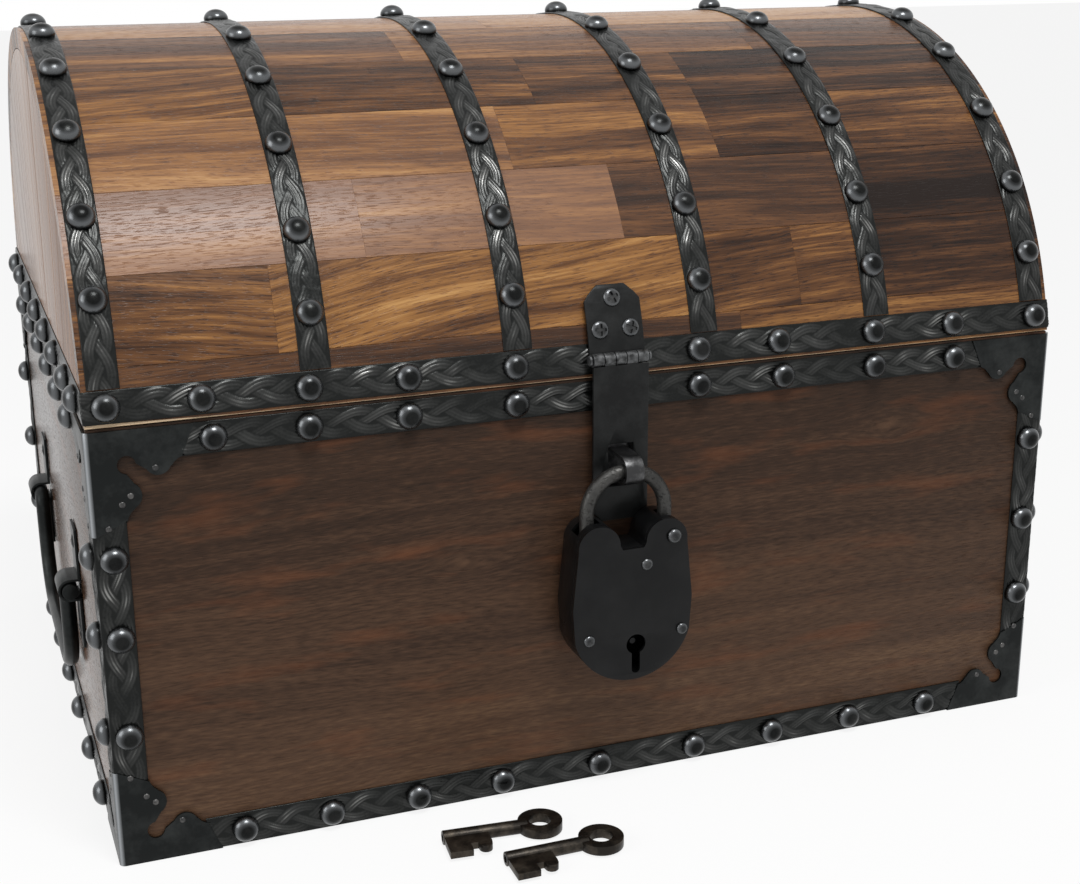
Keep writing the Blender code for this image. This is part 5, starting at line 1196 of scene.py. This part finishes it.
def staple():
    """A strip bent into a loop on its plate. Gives the spots of the plate's four screws."""
    low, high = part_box("hasp_staple")
    x, z = (low.x + high.x) / 2, (low.z + high.z) / 2
    wall = -HALF_DEPTH - GAP
    nose = -HALF_DEPTH - STAPLE_REACH
    outer_radius = STAPLE_INNER + STAPLE_THICKNESS
    outline = [(wall, z - outer_radius)] + arc((nose, z), outer_radius, 270, 90, 28)
    outline += [(wall, z + outer_radius), (wall, z + STAPLE_INNER)]
    outline += arc((nose, z), STAPLE_INNER, 90, 270, 28) + [(wall, z - STAPLE_INNER)]
    loop = plate("staple_loop", [outline], STAPLE_WIDTH, FACING_END, (x, 0.0, 0.0))
    rectangle = sum(corner_arcs((low.x, low.z), (high.x, high.z), 0.002), [])
    base = plate("staple_base", [rectangle], STAPLE_PLATE, FACING_FRONT, (0.0, wall - STAPLE_PLATE / 2, 0.0))
    dress(combine(loop, base, "UNION"), staple_iron, "body", "hasp_staple")
    inset = STAPLE_SCREW_INSET
    return [((sx, wall - STAPLE_PLATE, sz), (0, -1, 0)) for sx in (low.x + inset, high.x - inset)
            for sz in (low.z + inset, high.z - inset)]


# Padlock, measured from the middle of its shackle's crown
case_low, case_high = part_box("padlock_front_plate")
shackle_low, shackle_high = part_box("padlock_shackle")
LOCK_X = (case_low.x + case_high.x) / 2
LOCK_Y = (shackle_low.y + shackle_high.y) / 2
LOCK_CROWN = shackle_high.z - 0.0031
CASE_DEPTH = 0.0176
CASE_WALL = 0.0015
ROD_RADIUS = 0.0031
BEND_RADIUS = 0.0177
PIVOT = (0.0185, 0.0281)
PIVOT_HOLE = 0.00185
BOLT_TOP = 0.0336
KEYHOLE = (0.0015, 0.0749)
RIVETS = ((0.0062, 0.0393), (0.0229, 0.0710), (-0.0199, 0.0703))


def case_outline(inset):
    """A round foot, tapering sides and two lobes with a notch between."""
    foot = 0.0273 - inset
    lobe = 0.0094 - inset
    notch = 0.0048 + inset
    points = arc((0.0, -0.0637), foot, 196, 344, 48) + [(foot, -0.0560)]
    points += arc((0.0153, -0.0295), lobe, -6, 180, 30)
    points += [(notch, -0.0316 - inset), (-notch, -0.0316 - inset)]
    points += arc((-0.0153, -0.0295), lobe, 0, 186, 30) + [(-foot, -0.0560)]
    return [(LOCK_X + u, LOCK_CROWN + v) for u, v in points]


def lock_block(name, low, high):
    shift = Vector((LOCK_X, LOCK_Y, LOCK_CROWN))
    return block(name, Vector(low) + shift, Vector(high) + shift)


def lock_bar(name, radius, x, drop, start, end, sides=32):
    x, z = LOCK_X + x, LOCK_CROWN - drop
    return rod(name, radius, (x, LOCK_Y + start, z), (x, LOCK_Y + end, z), sides)


def padlock_body():
    """The case as a cup behind the plate, with its openings for the shackle's legs."""
    front = -CASE_DEPTH / 2 + CASE_WALL + GAP
    back = CASE_DEPTH / 2
    case = plate("padlock_case_shell", [case_outline(0.0)], back - front, FACING_FRONT,
                 (0.0, LOCK_Y + (front + back) / 2, 0.0), 0.0007)
    hollow = plate("hollow", [case_outline(CASE_WALL)], CASE_DEPTH, FACING_FRONT,
                   (0.0, LOCK_Y + back - CASE_WALL - CASE_DEPTH / 2, 0.0), 0.0)
    slot = ROD_RADIUS + 0.0005
    free_leg = lock_block("free_leg", (-BEND_RADIUS - slot - 0.0019, -slot, -0.0265),
                          (-BEND_RADIUS + slot + 0.0012, slot, 0.0))
    eye = lock_block("eye", (BEND_RADIUS - slot, -slot, -PIVOT[1] - 0.004), (0.0273 + slot, slot, 0.0))
    post = lock_bar("post", 0.0013, *KEYHOLE, front + 0.002, back - CASE_WALL / 2, 20)
    hole = lock_bar("hole", PIVOT_HOLE, *PIVOT, 0.0, CASE_DEPTH)
    for tool in (hollow, free_leg, eye, post, hole):
        case = combine(case, tool, "UNION" if tool is post else "DIFFERENCE")
    dress(case, lock_paint, "lock_case", "padlock_case")


def padlock_face():
    """The front plate with its keyhole, three rivets and the pivot's own head."""
    face = LOCK_Y - CASE_DEPTH / 2
    half_slot = 0.0019
    radius = 0.0044
    angle = math.degrees(math.asin(half_slot / radius))
    centre = (LOCK_X + KEYHOLE[0], LOCK_CROWN - KEYHOLE[1])
    keyhole = arc(centre, radius, 270 + angle, 630 - angle, 36)
    keyhole += arc((centre[0], centre[1] - 0.0114), half_slot, 180, 360, 8)
    pivot = arc((LOCK_X + PIVOT[0], LOCK_CROWN - PIVOT[1]), PIVOT_HOLE, 0, 345, 23)
    piece = plate("padlock_face_plate", [case_outline(0.0), keyhole, pivot], CASE_WALL, FACING_FRONT,
                  (0.0, face + CASE_WALL / 2, 0.0), 0.0004)
    dress(piece, lock_paint, "lock_case", "padlock_front_plate")
    spots = [((LOCK_X + x, face, LOCK_CROWN - drop), (0, -1, 0)) for x, drop in RIVETS]
    heads("padlock_rivets", studs_tree, spots, rivet_steel, "lock_case", Radius=0.0026, Height=0.0015,
          Skirt=0.0003)
    pin = lock_bar("padlock_pivot", 0.0016, *PIVOT, -CASE_DEPTH / 2 - GAP - 0.0005, CASE_DEPTH / 2, 24)
    dress(settle(pin), pin_steel, "lock_case", "padlock_pivot_pin")
    spot = ((LOCK_X + PIVOT[0], face - GAP, LOCK_CROWN - PIVOT[1]), (0, -1, 0))
    heads("padlock_pivot_head", studs_tree, [spot], rivet_steel, "lock_case", Radius=0.0032, Height=0.0020,
          Skirt=0.0)


def shackle():
    """A bent bar with an eye at its pivot and a notch for the bolt."""
    path = [(BEND_RADIUS, -PIVOT[1])] + arc((0.0, -BEND_RADIUS), BEND_RADIUS, 0, 180, 40)
    path.append((-BEND_RADIUS, -0.0403))
    bar = bent_rod("shackle_bar", ROD_RADIUS, [(LOCK_X + u, LOCK_Y, LOCK_CROWN + v) for u, v in path], 8)
    bar = combine(bar, lock_bar("eye", 0.0046, *PIVOT, -ROD_RADIUS, ROD_RADIUS, 40), "UNION")
    bar = combine(bar, lock_bar("bore", PIVOT_HOLE, *PIVOT, -CASE_DEPTH, CASE_DEPTH, 24), "DIFFERENCE")
    edge = -BEND_RADIUS + ROD_RADIUS
    notch = lock_block("notch", (edge - 0.0035, -0.01, -BOLT_TOP - 0.0048 - GAP),
                       (0.0, 0.01, -BOLT_TOP + GAP))
    dress(combine(bar, notch, "DIFFERENCE"), shackle_iron, "shackle", "padlock_shackle")


# Handles
BAIL_RADIUS = 0.0035
BAIL_FROM_WALL = 0.0016
BAIL_END = 0.0720 + 0.0080 + 0.0020
BAIL_SIDE = 0.0580
BAIL_DROP = 0.0490
TOP_BEND = 0.0055
LOW_BEND = 0.0240
HANDLE_Z = 0.0895
SADDLE_Y = 0.0720
SADDLE_WIDTH = 0.016
SADDLE_THICKNESS = 0.0012
SADDLE_HEIGHT = 0.055
SADDLE_SCREW = 0.0200


def handles():
    """A bail and two saddles on each end. Gives the spots of the saddles' screws."""
    spots = []
    half = [(BAIL_END, HANDLE_Z)] + arc((BAIL_SIDE + TOP_BEND, HANDLE_Z - TOP_BEND), TOP_BEND, 90, 180, 10)
    half += arc((BAIL_SIDE - LOW_BEND, HANDLE_Z - BAIL_DROP + LOW_BEND), LOW_BEND, 0, -90, 20)
    path = half + [(-y, z) for y, z in reversed(half)]
    for name, side in (("left", -1), ("right", 1)):
        x = side * (HALF_WIDTH + BAIL_FROM_WALL + BAIL_RADIUS)
        bail = bent_rod(f"{name}_bail", BAIL_RADIUS, [(x, y, z) for y, z in path], 7)
        dress(round_edges(bail, 0.0008, 2, 60.0), iron_sheet, f"{name}_bail", f"{name}_handle_bail")
        for place, y in (("front", -SADDLE_Y), ("back", SADDLE_Y)):
            saddle(f"{name}_saddle_{place}", side, y, f"{name}_handle_saddle_{place}")
            for z in (HANDLE_Z - SADDLE_SCREW, HANDLE_Z + SADDLE_SCREW):
                spots.append(((side * (HALF_WIDTH + GAP + SADDLE_THICKNESS), y, z), (side, 0, 0)))
    return spots


def saddle(name, side, y, node):
    """A strap bent over the bail's bar, with a foot above and below."""
    wall = HALF_WIDTH + GAP
    face = wall + SADDLE_THICKNESS
    inner_radius = BAIL_RADIUS + 0.0004
    outer_radius = inner_radius + SADDLE_THICKNESS
    foot = SADDLE_HEIGHT / 2
    centre = (HALF_WIDTH + BAIL_FROM_WALL + BAIL_RADIUS, HANDLE_Z)
    outline = [(wall, HANDLE_Z - foot), (face, HANDLE_Z - foot), (face, HANDLE_Z - outer_radius)]
    outline += arc(centre, outer_radius, -90, 90, 24)
    outline += [(face, HANDLE_Z + outer_radius), (face, HANDLE_Z + foot), (wall, HANDLE_Z + foot),
                (wall, HANDLE_Z + inner_radius)]
    outline += arc(centre, inner_radius, 90, -90, 24) + [(wall, HANDLE_Z - inner_radius)]
    facing = Matrix(((side, 0, 0), (0, 0, -side), (0, 1, 0))).to_4x4()
    dress(plate(name, [outline], SADDLE_WIDTH, facing, (0.0, y, 0.0), 0.0004), iron_sheet, "body", node)


# Keys: the node's number and body, the place along X and in front of the chest, and the turn in degrees
KEY_PLACES = ((1, "key_one", -0.0897, 0.0311, -5.3), (2, "key_two", -0.0709, 0.0563, 0.0))
KEY_SHANK = 0.0030
KEY_SHANK_LENGTH = 0.0340
KEY_RING = 0.0095
KEY_RING_HOLE = 0.0048


def key(number, body, x, in_front, turn_deg):
    """A barrel key: hollow shank, ring bow, and a bit with a broad tooth and a round one."""
    level = (0.0, 0.0, KEY_SHANK)
    centre = KEY_SHANK_LENGTH + KEY_RING - 0.0015
    piece = rod(f"barrel_key_{number}", KEY_SHANK, level, (centre - 0.0058, 0, KEY_SHANK), 36)
    piece = round_edges(piece, 0.0003)
    ring = [arc((centre, 0.0), KEY_RING, 0, 354, 59), arc((centre, 0.0), KEY_RING_HOLE, 0, 351, 39)]
    piece = combine(piece, plate("bow", ring, 0.0040, LYING_FLAT, level, 0.0012), "UNION")
    bit = [(0.0003, 0.0), (0.0003, -0.0150), (0.0100, -0.0150), (0.0100, -0.0098), (0.0130, -0.0098)]
    bit += arc((0.0160, -0.0110), 0.0028, 180, 360, 10) + [(0.0190, -0.0098), (0.0190, 0.0)]
    piece = combine(piece, plate("bit", [bit], 0.0030, LYING_FLAT, level), "UNION")
    barrel = rod("barrel", 0.0017, (-0.001, 0, KEY_SHANK), (0.014, 0, KEY_SHANK), 24)
    piece = combine(piece, barrel, "DIFFERENCE")
    place = Matrix.Translation((x, -HALF_DEPTH - in_front, 0.0))
    piece.data.transform(place @ Matrix.Rotation(math.radians(turn_deg), 4, "Z"))
    dress(piece, key_bronze, body, f"key_{number}")


def plain_nodes():
    """CAD nodes that keep their shape and take a finish."""
    for name in ("hinge_left_pin", "hinge_right_pin", "hasp_pin", "padlock_bolt", "padlock_spring"):
        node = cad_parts[name]
        node.data.materials.clear()
        node.data.materials.append(hasp_paint if name == "hasp_pin" else pin_steel)


def build():
    body_panels()
    lid_staves()
    lid_ends()
    strap("rim_strap", "body", "body_rim_band", wall_runs(RIM_LOW, RIM_HIGH, -1), 1)
    strap("foot_strap", "body", "foot_band", wall_runs(FOOT_LOW, FOOT_HIGH, 1), 2)
    strap("lid_edge_strap", "lid", "lid_rim_band", [lid_ring(LID_RIM_LOW, LID_RIM_HIGH)], 3, closed=True)
    arch_end = arch_straps()
    corner_straps()
    studs(arch_end)
    corner_plates()
    body_spots, lid_spots = rear_hinges()
    hasp_spots = hasp()
    body_spots += handles()
    plate_spots = staple()
    heads("hinge_lid_screws", screw_tree, lid_spots, nail_steel, "lid", **SCREW_SIZES)
    heads("body_screws", screw_tree, body_spots, hasp_paint, "body", "blackened_iron", **SCREW_SIZES)
    heads("hasp_screws", screw_tree, hasp_spots, rivet_steel, "lid")
    heads("staple_screws", screw_tree, plate_spots, hasp_paint, "body", Radius=0.0018, Height=0.0005,
          Recess=0.0004)
    padlock_body()
    padlock_face()
    shackle()
    for place in KEY_PLACES:
        key(*place)
    plain_nodes()


# Stage: floor, light and camera
CAMERA_PLACE = Vector((-0.2683, -0.7909, 0.3652))
CAMERA_YAW_DEG = 20.51
CAMERA_PITCH_DEG = 17.05
CAMERA_ROLL_DEG = 0.39
LENS_MM = 56.17
SENSOR_MM = 36.0
WORLD_LEVEL = 0.36
FLOOR_GLOW = 0.86
WHITE = (1.0, 1.0, 1.0, 1.0)


def camera():
    yaw, pitch, roll = (math.radians(a) for a in (CAMERA_YAW_DEG, CAMERA_PITCH_DEG, CAMERA_ROLL_DEG))
    ahead = Vector((math.sin(yaw) * math.cos(pitch), math.cos(yaw) * math.cos(pitch), -math.sin(pitch)))
    right = Vector((math.cos(yaw), -math.sin(yaw), 0.0))
    down = ahead.cross(right)
    turned_right = math.cos(roll) * right + math.sin(roll) * down
    turned_down = math.cos(roll) * down - math.sin(roll) * right
    data = bpy.data.cameras.new("camera")
    data.lens = LENS_MM
    data.sensor_width = SENSOR_MM
    turn = Matrix((turned_right, -turned_down, -ahead)).transposed().to_4x4()
    bpy.context.scene.camera = blank("camera", data, Matrix.Translation(CAMERA_PLACE) @ turn)


def seen_directly(sheet):
    """1 for rays from the camera, from glossy surfaces and through glass, and 0 for the rest."""
    path = sheet.node("ShaderNodeLightPath")
    camera_ray, glossy_ray, transmission_ray = (
        Field(sheet, path.outputs[f"Is {kind} Ray"]) for kind in ("Camera", "Glossy", "Transmission"))
    return sheet.clamp(camera_ray + glossy_ray + transmission_ray)


def surroundings():
    """White for what is seen directly, and a softer level as light."""
    world = bpy.data.worlds.new("studio")
    bpy.context.scene.world = world
    world.use_nodes = True
    sheet = Sheet(world.node_tree)
    background = world.node_tree.nodes["Background"]
    background.inputs["Color"].default_value = WHITE
    sheet.feed(background.inputs["Strength"], WORLD_LEVEL + seen_directly(sheet) * (1.0 - WORLD_LEVEL))


def floor():
    """A pale floor that keeps the chest's shadow and otherwise looks white."""
    bm = bmesh.new()
    bmesh.ops.create_grid(bm, x_segments=1, y_segments=1, size=6.0)
    plane = from_bmesh("floor", bm)
    material = bpy.data.materials.new("pale_floor")
    material.use_nodes = True
    material.node_tree.nodes.clear()
    sheet = Sheet(material.node_tree)
    diffuse = sheet.field("ShaderNodeBsdfDiffuse", {"Color": (0.93, 0.93, 0.93, 1.0)})
    glow = sheet.field("ShaderNodeEmission", {"Color": WHITE, "Strength": 1.0})
    mixed = sheet.field("ShaderNodeMixShader", {0: seen_directly(sheet) * FLOOR_GLOW, 1: diffuse, 2: glow})
    sheet.node("ShaderNodeOutputMaterial", {0: mixed})
    plane.data.materials.append(material)


def softbox(name, place, aim, size, power):
    data = bpy.data.lights.new(name, "AREA")
    data.shape = "RECTANGLE"
    data.size, data.size_y = size
    data.energy = power
    obj = blank(name, data)
    obj.location = place
    obj.rotation_mode = "QUATERNION"
    obj.rotation_quaternion = (Vector(aim) - Vector(place)).to_track_quat("-Z", "Y")


def stage():
    camera()
    surroundings()
    floor()
    softbox("overhead", (0.0, -0.70, 1.32), (0.0, -0.05, 0.15), (0.42, 0.32), 11.0)
    softbox("left", (-1.5, -0.35, 0.75), (0.0, 0.0, 0.15), (0.9, 0.9), 8.0)
    bpy.context.scene.view_settings.view_transform = "Standard"


build()
stage()
